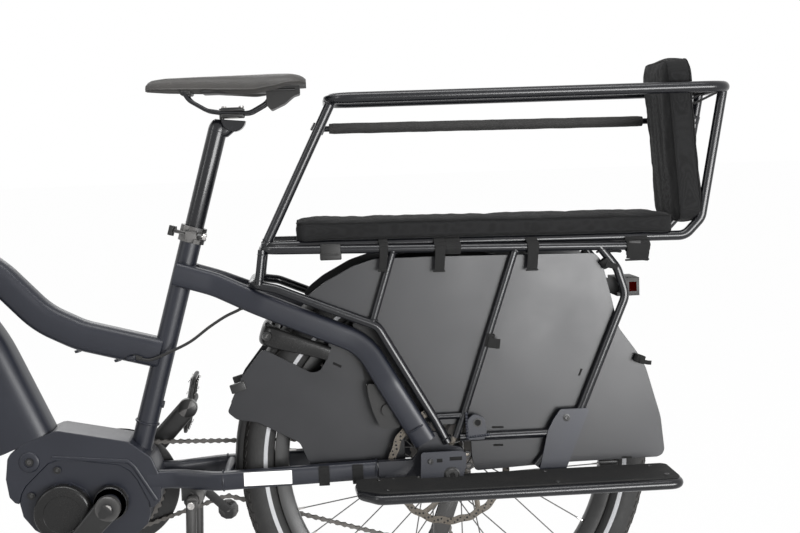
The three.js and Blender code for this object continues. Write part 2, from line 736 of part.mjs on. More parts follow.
function addRack() {
  const rackLoop = rackLoopBody(0);
  const grownRack = rackLoopBody(fitGap);
  const grownStays = sides.map(({ sign }) => stayBody(sign, fitGap));
  const grownDropouts = sides.map(({ sign }) => dropoutBody(sign, fitGap));
  const grownBrace = braceBody(fitGap);
  addPart('rack_loop', rackLoop, blackTube, 0.35, 0.5);
  addPart(
    'brace_loop', mainBody(cut(braceBody(0), grownRack, ...grownStays, ...grownDropouts)), blackTube, 0.35,
    0.5,
  );
  for (const { name, sign } of sides) {
    const y = sign * rack.halfWidth;
    const fore = rod(
      at(foreStrut.topX, y, rackZ(foreStrut.topX)), at(foreStrut.bottomX, y, foreStrut.bottomZ),
      foreStrut.radius,
      rodSides,
    );
    addPart(`strut_front_${name}`, mainBody(cut(fore, grownRack, grownBrace)), blackTube, 0.35, 0.5);
    const mid = cut(midStrutBody(sign, 0), grownRack, grownBrace, ...grownDropouts);
    addPart(`strut_mid_${name}`, mainBody(mid), blackTube, 0.35, 0.5);
    addPart(`rack_leg_${name}`, rearLegBody(sign, grownRack), blackTube, 0.35, 0.5);
  }
}

// Rear leg with its low bar, eye plate, side bracket and the flange under the footboard
const legPlate = { thickness: 4, y: 86, frontX: 140, rearX: 226, bottomZ: 330, topZ: 431, cornerRadius: 5 };
const legPlateShares = [[0, 0], [0.5, 0], [1, 0.98], [0.98, 1], [0.42, 1], [0.26, 0.68]];
const eyePlate = {
  frontX: 26, rearX: 60, bottomZ: 386, topZ: 431, cornerRadius: 8, holeX: 45, holeZ: 416, holeRadius: 5.5,
};
const eyePlateShares = [[0, 0], [1, 0], [1, 1], [0, 1]];
const flange = { frontX: 140, rearX: 186, reachY: 122, thickness: 3.4, overrunShare: 1.2 };

function rearLegBody(sign, grownRack) {
  const y = sign * rack.halfWidth;
  const low = rod(
    at(rearLeg.lowBarFrontX, y, rearLeg.lowBarZ), at(rearLeg.lowBarRearX, y, rearLeg.lowBarZ), rack.radius,
    rodSides,
  );
  const plateY = sign * legPlate.y;
  const sidePlate = plate(boxedOutline(legPlate, legPlateShares, 0), legPlate.thickness, plateY);
  const eye = plate(boxedOutline(eyePlate, eyePlateShares, 0), legPlate.thickness, plateY);
  const eyeHole = pin(
    eyePlate.holeX, eyePlate.holeZ, plateY - cutOverrun, plateY + cutOverrun, eyePlate.holeRadius,
  );
  const flangeTop = footboard.bottomZ - fitGap;
  const foot = boxBetween(
    flange.frontX, flange.rearX, sign * (legPlate.y - legPlate.thickness / 2), sign * flange.reachY,
    flangeTop - flange.thickness, flangeTop,
  );
  const cutFloor = boxBetween(
    legPlate.frontX - cutOverrun, flange.rearX + cutOverrun, sign * (legPlate.y + legPlate.thickness / 2),
    sign * flange.reachY * flange.overrunShare, flangeTop, footboard.bottomZ + footboard.thickness + fitGap,
  );
  const whole = join(rearLegTube(sign, 0), low, sidePlate, cut(eye, eyeHole), foot);
  return mainBody(cut(whole, grownRack, midStrutBody(sign, fitGap), cutFloor));
}

// Wheel guards: an inner sheet below the stay and an outer sheet inside the rack tubes
const innerGuard = { y: 35.8, frontX: -357, rearX: -70, bottomZ: 345, topZ: 562, cornerRadius: 7 };
const innerGuardShares = [
  [0.21, 0.91], [0.24, 0.9], [0.415, 0.77], [0.48, 0.72], [0.53, 0.73], [0.57, 0.81], [0.59, 0.97], [
    0.72, 1,
  ],
  [0.83, 0.86], [0.85, 0.74], [0.79, 0.61], [0.84, 0.36], [0.93, 0.31], [1, 0.39], [1, 0], [0.46, 0], [
    0.4, 0.19,
  ],
  [0.17, 0.36], [0.05, 0.39], [0, 0.45], [0.09, 0.71],
];
const guardStud = { x: -166, z: 553, radius: 6 };
const outerGuard = { frontX: -228, rearX: 356, bottomZ: 333, topZ: 686, cornerRadius: 8 };
const outerGuardShares = [
  [0.02, 0.85], [0.06, 0.9], [0.14, 0.97], [0.2, 1], [0.355, 1], [0.81, 0.986], [0.83, 0.95], [0.85, 0.82],
  [0.875, 0.635], [0.925, 0.52], [0.95, 0.445], [0.99, 0.21], [1, 0.045], [0.985, 0.02], [0.71, 0.017], [
    0.46, 0,
  ],
  [0.452, 0.07], [0.45, 0.22], [0.363, 0.224], [0.27, 0.487], [0.2, 0.67], [0, 0.81],
];

function addGuards() {
  const outerY = rack.halfWidth - brace.radius - fitGap - sheetThickness / 2;
  for (const { name, sign } of sides) {
    const inner = plate(boxedOutline(innerGuard, innerGuardShares, 0), sheetThickness, sign * innerGuard.y);
    const stud = pin(guardStud.x, guardStud.z, sign * innerGuard.y, sign * stay.y, guardStud.radius);
    const seated = cut(join(inner, stud), stayBody(sign, fitGap));
    addPart(`guard_front_${name}`, mainBody(seated), blackSheet, 0.45, 0.2);
    const outer = plate(boxedOutline(outerGuard, outerGuardShares, 0), sheetThickness, sign * outerY);
    addPart(`guard_rear_${name}`, mainBody(cut(outer, stayBody(sign, fitGap))), blackSheet, 0.45, 0.2);
  }
}

function addFootboards() {
  for (const { name, sign } of sides) {
    const { innerY, outerY, frontX, outerFrontX, rearX, bottomZ, thickness, tubeRadius, bendRadius, tubeInset } = footboard;
    const shape = outline([
      flat(frontX, sign * innerY), flat(rearX, sign * innerY), flat(rearX, sign * outerY), flat(
        outerFrontX, sign * outerY,
      ),
    ], bendRadius / 2);
    const geometry = new THREE.ExtrudeGeometry(shape, { depth: thickness, bevelEnabled: false });
    geometry.translate(0, 0, bottomZ);
    const z = bottomZ - tubeRadius + thickness / 2;
    const tubeEndY = sign * (innerY + 2 * tubeRadius);
    const tube = sweep(roundCorners([
      at(frontX + 2 * tubeRadius, tubeEndY, z), at(outerFrontX + tubeInset, sign * outerY, z),
      at(rearX - tubeInset, sign * outerY, z), at(rearX - tubeInset, tubeEndY, z),
    ], bendRadius), circle(tubeRadius, rodSides), up);
    addPart(`footboard_${name}`, join(toSolid(geometry), tube), blackRubber, 0.8, 0);
  }
}

const foamBar = {
  coreRadius: 5, sleeveRadius: 9, frontZ: 898, rearZ: 893, frontX: -190, sleeveFrontX: -172,
  sleeveRearX: 368,
  rearX: 453, clampRadius: 7, standOff: 9,
};

function addCage() {
  const grownRack = rackLoopBody(fitGap);
  const grownRail = cageRailBody(fitGap);
  addPart('cage_rail', cageRailBody(0), blackTube, 0.35, 0.5);
  for (const { name, sign } of sides) {
    const side = cut(cageSideBody(sign, 0), grownRail, grownRack);
    addPart(`cage_side_${name}`, mainBody(side), blackTube, 0.35, 0.5);
  }
  const y = cage.tubeY + cage.tubeRadius + foamBar.standOff;
  const barZ = (x) => THREE.MathUtils.mapLinear(
    x, foamBar.sleeveFrontX, foamBar.sleeveRearX, foamBar.frontZ, foamBar.rearZ,
  );
  const place = (x) => at(x, y, barZ(x));
  const endClamp = (x) => pin(x, barZ(x), cage.tubeY, y, foamBar.clampRadius);
  const bar = join(
    rod(place(foamBar.frontX), place(foamBar.rearX), foamBar.coreRadius, rodSides),
    rod(place(foamBar.sleeveFrontX), place(foamBar.sleeveRearX), foamBar.sleeveRadius),
    endClamp(foamBar.frontX), endClamp(foamBar.rearX),
  );
  addPart('foam_bar', mainBody(cut(bar, cageSideBody(right, fitGap))), blackRubber, 0.9, 0);
}

// Closed skin over rings of equal point counts
function loft(rings) {
  const count = rings[0].length;
  const positions = rings.flat().flatMap((point) => [point.x, point.y, point.z]);
  const indices = [];
  for (let i = 0; i < rings.length - 1; i += 1) {
    for (let j = 0; j < count; j += 1) {
      const [a, b] = [i * count + j, i * count + ((j + 1) % count)];
      indices.push(a, a + count, b, b, a + count, b + count);
    }
  }
  for (const [ring, first] of [[rings[0], 0], [rings.at(-1), (rings.length - 1) * count]]) {
    const middle = ring.reduce((sum, point) => sum.add(point), at(0, 0, 0)).divideScalar(count);
    const middleIndex = positions.length / 3;
    positions.push(middle.x, middle.y, middle.z);
    for (let j = 0; j < count; j += 1) {
      const [a, b] = [first + j, first + ((j + 1) % count)];
      if (first === 0) indices.push(middleIndex, a, b);
      else indices.push(middleIndex, b, a);
    }
  }
  const geometry = new THREE.BufferGeometry();
  geometry.setAttribute('position', new THREE.Float32BufferAttribute(positions, 3));
  geometry.setIndex(indices);
  return geometry;
}

// Sewn cushion lying on its flat back: crowned, drawn in at its ends, with shallow channels across it
const cushionRings = 20;
const cushionPoints = 14;
const cushionEdgeShare = 0.36;
const cushionUndersideShare = 0.8;

function cushionSkin(size) {
  const rings = [];
  for (let i = 0; i <= cushionRings; i += 1) {
    const share = (1 - Math.cos((Math.PI * i) / cushionRings)) / 2;
    const place = size.length * share;
    const toEnd = Math.min(place, size.length - place, size.endRadius);
    const fullness = Math.sqrt(1 - (1 - toEnd / size.endRadius) ** 2);
    const halfWidth = size.width / 2 - (size.endRadius / 2) * (1 - fullness);
    const thickness = (size.thickness * (1 + fullness)) / 2;
    const channel = size.channelDepth * Math.cos(2 * Math.PI * size.channels * share) * fullness;
    const ring = [];
    for (let j = 0; j < cushionPoints; j += 1) {
      const angle = ((j + 0.5) / cushionPoints) * 2 * Math.PI;
      const [c, s] = [Math.cos(angle), Math.sin(angle)];
      const y = halfWidth * Math.sign(c) * Math.abs(c) ** cushionEdgeShare;
      const lift = Math.sign(s) * Math.abs(s) ** cushionEdgeShare;
      const rise = Math.max(0, (lift + cushionUndersideShare) / (1 + cushionUndersideShare));
      const crown = size.crown * (1 - (y / halfWidth) ** 2) * fullness;
      ring.push(at(place, y, rise * (thickness + crown + channel)));
    }
    rings.push(ring);
  }
  return loft(rings);
}

const seatCushion = {
  length: 607, width: 150, thickness: 26, crown: 4, endRadius: 16, channels: 7, channelDepth: 1.1,
  frontX: -239,
};
const backCushion = {
  length: 254, width: 145, thickness: 31, crown: 3, endRadius: 14, channels: 2, channelDepth: 1,
  bottomX: 414,
  bottomZ: 728, lean: 1.1,
};

function addCushions() {
  const [, front, rear] = cageRoute;
  const slope = Math.atan2(front.z - rear.z, rear.x - front.x);
  const seatGeometry = cushionSkin(seatCushion);
  seatGeometry.rotateY(slope);
  const tubeTop = front.z - Math.tan(slope) * (seatCushion.frontX - front.x) + flatReach(cage.tubeRadius);
  seatGeometry.translate(seatCushion.frontX, 0, tubeTop + fitGap);
  const cageCutters = [cageSideBody(left, fitGap), cageSideBody(right, fitGap), cageRailBody(fitGap)];
  addPart('seat_cushion', toSolid(seatGeometry), blackCloth, 0.95, 0);
  const backGeometry = cushionSkin(backCushion);
  backGeometry.rotateY(-Math.PI / 2 - radians(backCushion.lean));
  backGeometry.translate(backCushion.bottomX, 0, backCushion.bottomZ);
  addPart('backrest', mainBody(cut(toSolid(backGeometry), ...cageCutters)), blackCloth, 0.95, 0);
}

const lamp = { x: 305, depth: 24, width: 62, z: 619, height: 30, barX: 293, barDepth: 4, barHeight: 16 };

function addRearLamp() {
  const bodyStart = lamp.barX - lamp.barDepth / 2;
  const body = boxBetween(
    bodyStart, lamp.x + lamp.depth, -lamp.width / 2, lamp.width / 2, lamp.z - lamp.height / 2,
    lamp.z + lamp.height / 2,
  );
  const bar = boxBetween(
    lamp.barX - lamp.barDepth / 2, lamp.barX + lamp.barDepth / 2, -rack.halfWidth, rack.halfWidth,
    lamp.z - lamp.barHeight / 2, lamp.z + lamp.barHeight / 2,
  );
  const legs = sides.map(({ sign }) => rearLegTube(sign, fitGap));
  addPart('rear_lamp', mainBody(cut(join(body, bar), ...legs)), redLens, 0.2, 0);
}

// Frame lock: a horseshoe round the tyre, hung under the stays
const lock = {
  frontX: -304, z: 572, length: 124, thickness: 28, outerY: 52, innerY: 39, baseLength: 26, slope: 18.5,
  cornerRadius: 12, lugX: -250, lugLength: 16, lugHeight: 60,
};

function addLock() {
  const { length, thickness, outerY, innerY, baseLength, cornerRadius } = lock;
  const shape = outline([
    flat(0, -outerY), flat(length, -outerY), flat(length, -innerY), flat(baseLength, -innerY), flat(
      baseLength, innerY,
    ),
    flat(length, innerY), flat(length, outerY), flat(0, outerY),
  ], cornerRadius / 2);
  const geometry = new THREE.ExtrudeGeometry(shape, { depth: thickness, bevelEnabled: false });
  geometry.translate(0, 0, -thickness / 2);
  geometry.rotateY(radians(lock.slope));
  geometry.translate(lock.frontX, 0, lock.z);
  const lugs = sides.map(({ sign }) => {
    const z = lock.z - (lock.lugX - lock.frontX) * Math.tan(radians(lock.slope));
    return boxBetween(
      lock.lugX, lock.lugX + lock.lugLength, sign * (stay.y - stay.width / 2 + fitGap),
      sign * (outerY - fitGap), z, z + lock.lugHeight,
    );
  });
  const ceiling = sides.flatMap(({ sign }) => [stayBody(sign, fitGap), upperOfStay(sign)]);
  addPart(
    'lock_body', mainBody(cut(join(toSolid(geometry), ...lugs), ...ceiling, mudguardCutter())),
    blackPlastic, 0.45, 0.2,
  );
}

// Space above a stay, from its middle line upwards
function upperOfStay(sign) {
  const lift = at(0, 0, stay.depth);
  const stations = tubeStations(stayRoute, stay, sign).map((point) => point.add(lift));
  return sweep(stations, boxSection(stay.width * 2, 2 * stay.depth, 0));
}

function mudguardCutter() {
  return pin(
    rearAxle.x, rearAxle.y, -mudguard.halfWidth - fitGap, mudguard.halfWidth + fitGap,
    mudguardOuter + fitGap, wheelSides * 2,
  );
}

// Seat post, its clamp collar, the lever, the rails and the saddle
const seatPost = {
  radius: 15.45, footZ: 500, topZ: 900, headX: -328, headZ: 909, headLength: 46, headWidth: 34,
  headHeight: 11, neckShare: 0.9,
  pivotRadius: 10, pivotZ: 916,
};
const collar = {
  wall: 4, boltX: [-430, -386], boltY: -25, boltZ: [741, 729], boltRadius: 3, nutRadius: 6, nutLength: 6,
};
const seatLever = {
  knobRadius: 5.5, knobHeight: 16, x: -434, y: -18, z: 741, armThickness: 4, armHeight: 10, reach: 30,
};
const saddle = {
  frontX: -468, length: 263, halfWidth: 80, topZ: 988, depth: 38, points: 14, edgeShare: 0.55,
  railRadius: 3.5, railY: 22,
  clampLength: 40, clampHeight: 20, railBend: 26,
};
const saddleShares = [
  [0, 0.1, 0.42, 0.2], [0.03, 0.2, 0.12, 0.55], [0.14, 0.26, 0.02, 0.72], [0.34, 0.33, 0, 0.8], [
    0.52, 0.47, 0, 0.9,
  ],
  [0.68, 0.74, 0, 0.98], [0.8, 0.94, 0, 1], [0.9, 1, 0.02, 1], [0.97, 0.9, 0.14, 0.8], [1, 0.7, 0.4, 0.4],
];
const railRoute = [
  { x: -404, z: 966 }, { x: -396, z: 948 }, { x: -368, z: 931 }, { x: -345, z: 927 }, { x: -300, z: 925 },
  { x: -272, z: 940 }, { x: -262, z: 962 },
];

function railBody(sign, grow) {
  const points = railRoute.map((point) => at(point.x, sign * saddle.railY, point.z));
  return sweep(roundCorners(points, saddle.railBend), circle(saddle.railRadius + grow, rodSides));
}

function addSeat() {
  const post = rod(onSeatAxis(seatPost.footZ), onSeatAxis(seatPost.topZ), seatPost.radius, discSides);
  const neck = rod(
    onSeatAxis(seatPost.topZ - seatPost.radius), at(
      seatPost.headX, 0, seatPost.headZ - seatPost.headHeight / 2,
    ),
    seatPost.radius * seatPost.neckShare,
  );
  const head = boxBetween(
    seatPost.headX - seatPost.headLength / 2, seatPost.headX + seatPost.headLength / 2,
    -seatPost.headWidth / 2, seatPost.headWidth / 2,
    seatPost.headZ - seatPost.headHeight, seatPost.headZ,
  );
  const pivot = pin(
    seatPost.headX, seatPost.pivotZ, -seatPost.headWidth / 2, seatPost.headWidth / 2, seatPost.pivotRadius,
    discSides,
  );
  const clampSpace = boxBetween(
    seatPost.headX - seatPost.headLength, seatPost.headX + seatPost.headLength, -saddle.halfWidth,
    saddle.halfWidth,
    seatPost.headZ, saddle.topZ,
  );
  addPart('seat_post', join(cut(join(post, neck, head), clampSpace), pivot), blackTube, 0.3, 0.6);

  const bore = pin(
    seatPost.headX, seatPost.pivotZ, -saddle.halfWidth, saddle.halfWidth, seatPost.pivotRadius + fitGap,
    discSides,
  );
  const clampBottom = seatPost.pivotZ + fitGap;
  const clamp = boxBetween(
    seatPost.headX - saddle.clampLength / 2, seatPost.headX + saddle.clampLength / 2,
    -saddle.railY - 2 * saddle.railRadius, saddle.railY + 2 * saddle.railRadius,
    clampBottom, clampBottom + saddle.clampHeight,
  );
  const rails = join(railBody(left, 0), railBody(right, 0), cut(clamp, bore));
  addPart('saddle_rails', rails, blackTube, 0.35, 0.7);

  const rings = saddleShares.map(([lengthShare, widthShare, dropShare, depthShare]) => {
    const x = saddle.frontX + saddle.length * lengthShare;
    const halfWidth = saddle.halfWidth * widthShare;
    const top = saddle.topZ - saddle.depth * dropShare;
    const bottom = top - saddle.depth * depthShare;
    const ring = [];
    for (let j = 0; j < saddle.points; j += 1) {
      const angle = ((j + 0.5) / saddle.points) * 2 * Math.PI;
      const [c, s] = [Math.cos(angle), Math.sin(angle)];
      const y = halfWidth * Math.sign(c) * Math.abs(c) ** saddle.edgeShare;
      ring.push(
        at(x, y, bottom + ((top - bottom) * (Math.sign(s) * Math.abs(s) ** saddle.edgeShare + 1)) / 2)
      );
    }
    return ring;
  });
  const seat = cut(toSolid(loft(rings)), railBody(left, fitGap), railBody(right, fitGap));
  addPart('saddle', mainBody(seat), brownVinyl, 0.6, 0);
}

function addCollar() {
  const low = onSeatAxis(seatTube.topZ);
  const high = onSeatAxis(seatTube.topZ + seatTube.collarHeight);
  const outer = rod(low, high, seatTube.radius + fitGap + collar.wall, discSides);
  const bolt = rod(
    at(collar.boltX[0], collar.boltY, collar.boltZ[0]), at(collar.boltX[1], collar.boltY, collar.boltZ[1]),
    collar.boltRadius,
    rodSides,
  );
  const nut = rod(
    at(collar.boltX[1] - collar.nutLength, collar.boltY, collar.boltZ[1]), at(
      collar.boltX[1], collar.boltY, collar.boltZ[1],
    ),
    collar.nutRadius,
  );
  const middle = onSeatAxis(seatTube.topZ + seatTube.collarHeight / 2);
  const ear = boxBetween(
    middle.x - seatTube.radius / 2, middle.x + seatTube.radius / 2, collar.boltY - 2 * collar.boltRadius, 0,
    middle.z - seatTube.collarHeight / 4, middle.z + seatTube.collarHeight / 4,
  );
  const lever = leverBody(fitGap);
  addPart(
    'seat_collar', mainBody(cut(join(outer, bolt, nut, ear), grownSeatTube, lever)), blackPlastic, 0.4, 0.5,
  );
  addPart('seat_lever', leverBody(0), blackPlastic, 0.4, 0.3);
}

// Lever that wraps the front of the collar from its knob
function leverBody(grow) {
  const { knobRadius, knobHeight, x, y, z, armThickness, armHeight, reach } = seatLever;
  const half = seatAxis.clone().multiplyScalar(knobHeight / 2 + grow);
  const knobMiddle = at(x, y, z);
  const knob = rod(knobMiddle.clone().sub(half), knobMiddle.clone().add(half), knobRadius + grow);
  const section = boxSection(armHeight + 2 * grow, armThickness + 2 * grow, 0);
  const arm = sweep(
    [knobMiddle, at(x - armThickness, y + reach / 2, z + grow), at(x + armThickness, y + reach + grow, z)],
    section, up,
  );
  return join(knob, arm);
}

// Steering: fork, bars, lamp and levers
const fork = {
  crownStart: 418, crownRadius: 19, legRadius: 13, legY: 68.6, crownLegY: 62, tipReach: 16, crownEnd: 442.7,
};
const stem = {
  radius: 17, gap: 0.4, rise: 655, clampX: -1040, clampZ: 945, clampRadius: 19, clampHalfWidth: 24,
  neckShare: 0.85,
};
const bar = { radius: 11, gripRadius: 16, gripShare: 0.32, bendRadius: 60 };
const barRoute = [
  { x: stem.clampX, y: 0, z: stem.clampZ }, { x: stem.clampX, y: 62, z: stem.clampZ + 4 }, {
    x: -1020, y: 158, z: 1018,
  },
  { x: -958, y: 338, z: 1044 },
];
const brakeLever = {
  perchRadius: 7, perchReach: 46, rootRadius: 7, bladeRadius: 4.5, bladeLength: 112, drop: 8,
};
const headlamp = { radius: 29, length: 46, x: -1118, z: 768, neckRadius: 8 };
const fenderTab = { radius: 7 };

function addSteering() {
  const crown = onSteerAxis(fork.crownStart);
  const steererTop = onSteerAxis(headTube.start + headTube.length - fitGap);
  const crownMiddle = onSteerAxis(fork.crownEnd - fork.crownRadius);
  const tops = sides.map(({ sign }) => crownMiddle.clone().add(at(0, sign * fork.crownLegY, 0)));
  const legs = sides.map(({ sign }, i) => {
    const axle = at(frontAxle.x, sign * fork.legY, frontAxle.y);
    const heading = axle.clone().sub(tops[i]).normalize();
    return rod(tops[i], axle.addScaledVector(heading, fork.tipReach), fork.legRadius);
  });
  const crownRod = rod(tops[0], tops[1], fork.crownRadius);
  const steerer = rod(crown, steererTop, steererRadius, discSides);
  const race = rod(crown, onSteerAxis(fork.crownEnd), headTube.radius, discSides);
  const headCut = cut(headTubeBody(fitGap), rod(crown, steererTop, steererRadius, discSides));
  const axleHole = pin(
    frontAxle.x, frontAxle.y, -frontHub.width, frontHub.width, axleRadius + fitGap, discSides,
  );
  const hubSpace = pin(
    frontAxle.x, frontAxle.y, -frontHub.width / 2, frontHub.width / 2, hub.flangeRadius, discSides,
  );
  addPart(
    'fork', mainBody(cut(join(...legs, crownRod, steerer, race), axleHole, headCut, hubSpace)), blackFrame,
    0.45, 0.3,
  );

  const stemFoot = onSteerAxis(headTube.start + headTube.length + stem.gap);
  const stemTop = onSteerAxis(stem.rise);
  const clampMiddle = at(stem.clampX, 0, stem.clampZ);
  const barPoints = [
    ...barRoute.slice(1).reverse().map(({ x, y, z }) => at(x, -y, z)),
    ...barRoute.map(({ x, y, z }) => at(x, y, z)),
  ];
  const solids = [
    rod(stemFoot, stemTop, stem.radius), rod(
      stemTop.clone().addScaledVector(steerAxis, -stem.radius), clampMiddle, stem.radius * stem.neckShare,
    ),
    pin(clampMiddle.x, clampMiddle.z, -stem.clampHalfWidth, stem.clampHalfWidth, stem.clampRadius),
    sweep(roundCorners(barPoints, bar.bendRadius), circle(bar.radius), up),
  ];
  for (const { name, sign } of sides) {
    const mirror = ({ x, y, z }) => at(x, sign * y, z);
    const [inner, end] = [mirror(barRoute[2]), mirror(barRoute[3])];
    solids.push(rod(mix(inner, end, bar.gripShare), end, bar.gripRadius));
    const heading = end.clone().sub(inner).normalize();
    const forward = leverForward(sign);
    const root = mix(inner, end, bar.gripShare / 2);
    const pivot = root.clone().addScaledVector(forward, brakeLever.perchReach);
    const perchEnd = root.clone().addScaledVector(
      forward, brakeLever.perchReach - brakeLever.rootRadius - fitGap,
    );
    solids.push(rod(root, perchEnd, brakeLever.perchRadius, rodSides));
    const hinge = leverHinge(sign).multiplyScalar(brakeLever.rootRadius);
    const blade = rod(
      pivot, pivot.clone().addScaledVector(heading, brakeLever.bladeLength), brakeLever.bladeRadius,
      rodSides,
    );
    const rootPin = rod(
      pivot.clone().sub(hinge), pivot.clone().add(hinge), brakeLever.rootRadius, rodSides * 2,
    );
    addPart(`brake_lever_${name}`, join(blade, rootPin), blackTube, 0.35, 0.6);
  }
  addPart('handlebar', join(...solids), blackTube, 0.4, 0.4);

  const lampPlace = at(headlamp.x, 0, headlamp.z);
  const lampBody = rod(
    lampPlace, lampPlace.clone().add(at(headlamp.length, 0, 0)), headlamp.radius, discSides,
  );
  const neck = rod(
    lampPlace.clone().add(at(headlamp.length / 2, 0, 0)), crownMiddle, headlamp.neckRadius, rodSides,
  );
  const crownCut = join(
    rod(tops[0], tops[1], fork.crownRadius + fitGap),
    rod(crown, onSteerAxis(fork.crownEnd), headTube.radius + fitGap, discSides),
  );
  addPart(
    'headlamp', mainBody(cut(join(lampBody, neck), crownCut, steererCutter(), grownHead)), blackPlastic,
    0.3, 0,
  );

  const tab = rod(
    onWheel(frontAxle, mudguardOuter - mudguard.thickness / 2, frontFender.tabAngle, 0), crownMiddle,
    fenderTab.radius, rodSides,
  );
  const fender = join(mudguardBody(frontAxle, frontFender.from, frontFender.to), tab);
  addPart('mudguard_front', mainBody(cut(fender, crownCut, steererCutter())), blackSheet, 0.45, 0.1);
}


function steererCutter() {
  return rod(onSteerAxis(fork.crownStart - fitGap), onSteerAxis(headTube.start), headTube.radius + fitGap);
}

function leverHeading(sign) {
  const [inner, end] = [barRoute[2], barRoute[3]];
  return at(end.x - inner.x, sign * (end.y - inner.y), end.z - inner.z).normalize();
}

function leverForward(sign) {
  const heading = leverHeading(sign);
  const forward = at(-1, 0, -brakeLever.drop / brakeLever.perchReach);
  return forward.addScaledVector(heading, -forward.dot(heading)).normalize();
}

function leverHinge(sign) {
  return leverHeading(sign).cross(leverForward(sign)).normalize();
}

// Drive train: chain line, ring, cogs, pulleys and the chain band
const chainLine = { y: 48, width: 6.8, height: 8.5, pitch: 12.7, step: 15, play: 0.95 };
const toothGap = chainLine.height / 2 + chainLine.play;
const pitchRadius = (teeth) => chainLine.pitch / (2 * Math.sin(Math.PI / teeth));
const ringTeeth = 38;
const smallCogTeeth = 11;
const largeCogTeeth = 29;
const pulleyTeeth = 11;
const chainCircles = [
  { x: bottomBracket.x, z: bottomBracket.z, radius: pitchRadius(ringTeeth), turn: -1 },
  { x: rearAxle.x, z: rearAxle.y, radius: pitchRadius(smallCogTeeth), turn: -1 },
  { x: 16, z: 272, radius: pitchRadius(pulleyTeeth), turn: 1 },
  { x: -12, z: 192, radius: pitchRadius(pulleyTeeth), turn: -1 },
  { x: -370, z: 258, radius: pitchRadius(pulleyTeeth), turn: 1 },
];
const plateWidth = 4.4;

// Closed middle line of a belt that runs round circles, each turned one way or the other
function beltLine(circles) {
  const count = circles.length;
  const headings = circles.map((circleFrom, i) => {
    const circleTo = circles[(i + 1) % count];
    const [dx, dz] = [circleTo.x - circleFrom.x, circleTo.z - circleFrom.z];
    const offset = circleFrom.turn * circleFrom.radius - circleTo.turn * circleTo.radius;
    return Math.atan2(dz, dx) + Math.asin(offset / Math.hypot(dx, dz));
  });
  return circles.flatMap(({ x, z, radius, turn }, i) => {
    const arrive = headings[(i + count - 1) % count];
    let sweepAngle = headings[i] - arrive;
    while (turn * sweepAngle < 0) sweepAngle += turn * 2 * Math.PI;
    const steps = Math.max(1, Math.ceil(Math.abs(sweepAngle) / radians(chainLine.step)));
    const points = [];
    for (let k = 0; k <= steps; k += 1) {
      const heading = arrive + (sweepAngle * k) / steps;
      const outward = turn * radius;
      points.push({ x: x + outward * Math.sin(heading), z: z - outward * Math.cos(heading), heading });
    }
    return points;
  });
}

function addChain() {
  const line = beltLine(chainCircles);
  const offset = (reach) => line.map(({ x, z, heading }) => flat(
    x - reach * Math.sin(heading), z + reach * Math.cos(heading),
  ));
  const shape = new THREE.Shape(offset(chainLine.height / 2));
  shape.holes.push(new THREE.Path(offset(-chainLine.height / 2).reverse()));
  addPart('chain', plate(shape, chainLine.width, chainLine.y), steelGrey, 0.4, 0.9);
}

const crank = {
  length: 170, angle: 46.7, armY: 80, armThickness: 14, bossRadius: 16, tipRadius: 12, ringInnerRadius: 58,
  spiderY: 41,
  guardRadius: 100, guardThickness: 3, guardGap: 1.2, spiderRadius: 28,
};
const pedal = {
  innerY: 93, width: 92, length: 96, height: 17, axleRadius: 5.5, tilt: { left: 0, right: 78 },
};

function pedalPlace(sign) {
  const reach = sign * crank.length;
  return flat(
    bottomBracket.x + reach * Math.cos(radians(crank.angle)), bottomBracket.z + reach * Math.sin(
      radians(crank.angle)
    ),
  );
}

function addCranks() {
  const ringRadius = pitchRadius(ringTeeth) - toothGap;
  const ringInner = chainLine.y - plateWidth / 2;
  const ringOuter = chainLine.y + plateWidth / 2;
  const guardInner = chainLine.y + chainLine.width / 2 + crank.guardGap;
  const guardOuter = guardInner + crank.guardThickness;
  const armInner = crank.armY - crank.armThickness / 2;
  const disc = turned([
    [0, crank.spiderY], [crank.spiderRadius, crank.spiderY], [crank.spiderRadius, ringInner], [
      ringRadius, ringInner,
    ],
    [ringRadius, ringOuter], [crank.ringInnerRadius, ringOuter], [crank.ringInnerRadius, guardInner],
    [crank.guardRadius, guardInner], [crank.guardRadius, guardOuter], [crank.spiderRadius, guardOuter],
    [crank.spiderRadius, armInner + fitGap], [0, armInner + fitGap],
  ], bottomBracket.x, bottomBracket.z, 2 * discSides);
  const solids = [disc, pin(bottomBracket.x, bottomBracket.z, -crank.armY, crank.armY, spindleRadius)];
  for (const { sign } of sides) {
    const tip = pedalPlace(sign);
    const y = sign * crank.armY;
    const half = crank.armThickness / 2;
    const middle = [at(bottomBracket.x, y, bottomBracket.z), at(tip.x, y, tip.y)];
    solids.push(
      sweep(middle, boxSection(crank.armThickness, 2 * crank.tipRadius, 0)),
      pin(bottomBracket.x, bottomBracket.z, y - half, y + half, crank.bossRadius, discSides),
      pin(tip.x, tip.y, y - half, y + half, crank.tipRadius, discSides),
    );
  }
  addPart('crankset', join(...solids), blackPlastic, 0.4, 0.5);
  for (const { name, sign } of sides) {
    const { x, y: z } = pedalPlace(sign);
    const outer = sign * (pedal.innerY + pedal.width);
    const angle = radians(pedal.tilt[name]);
    const half = flat(Math.cos(angle), Math.sin(angle)).multiplyScalar(pedal.length / 2);
    const middleY = sign * (pedal.innerY + pedal.width / 2);
    const body = sweep(
      [at(x - half.x, middleY, z - half.y), at(x + half.x, middleY, z + half.y)],
      boxSection(pedal.width, pedal.height, pedal.height / 4),
    );
    const axle = pin(
      x, z, sign * (crank.armY + crank.armThickness / 2 + fitGap), outer, pedal.axleRadius, rodSides,
    );
    addPart(`pedal_${name}`, join(body, axle), blackPlastic, 0.5, 0.2);
  }
}

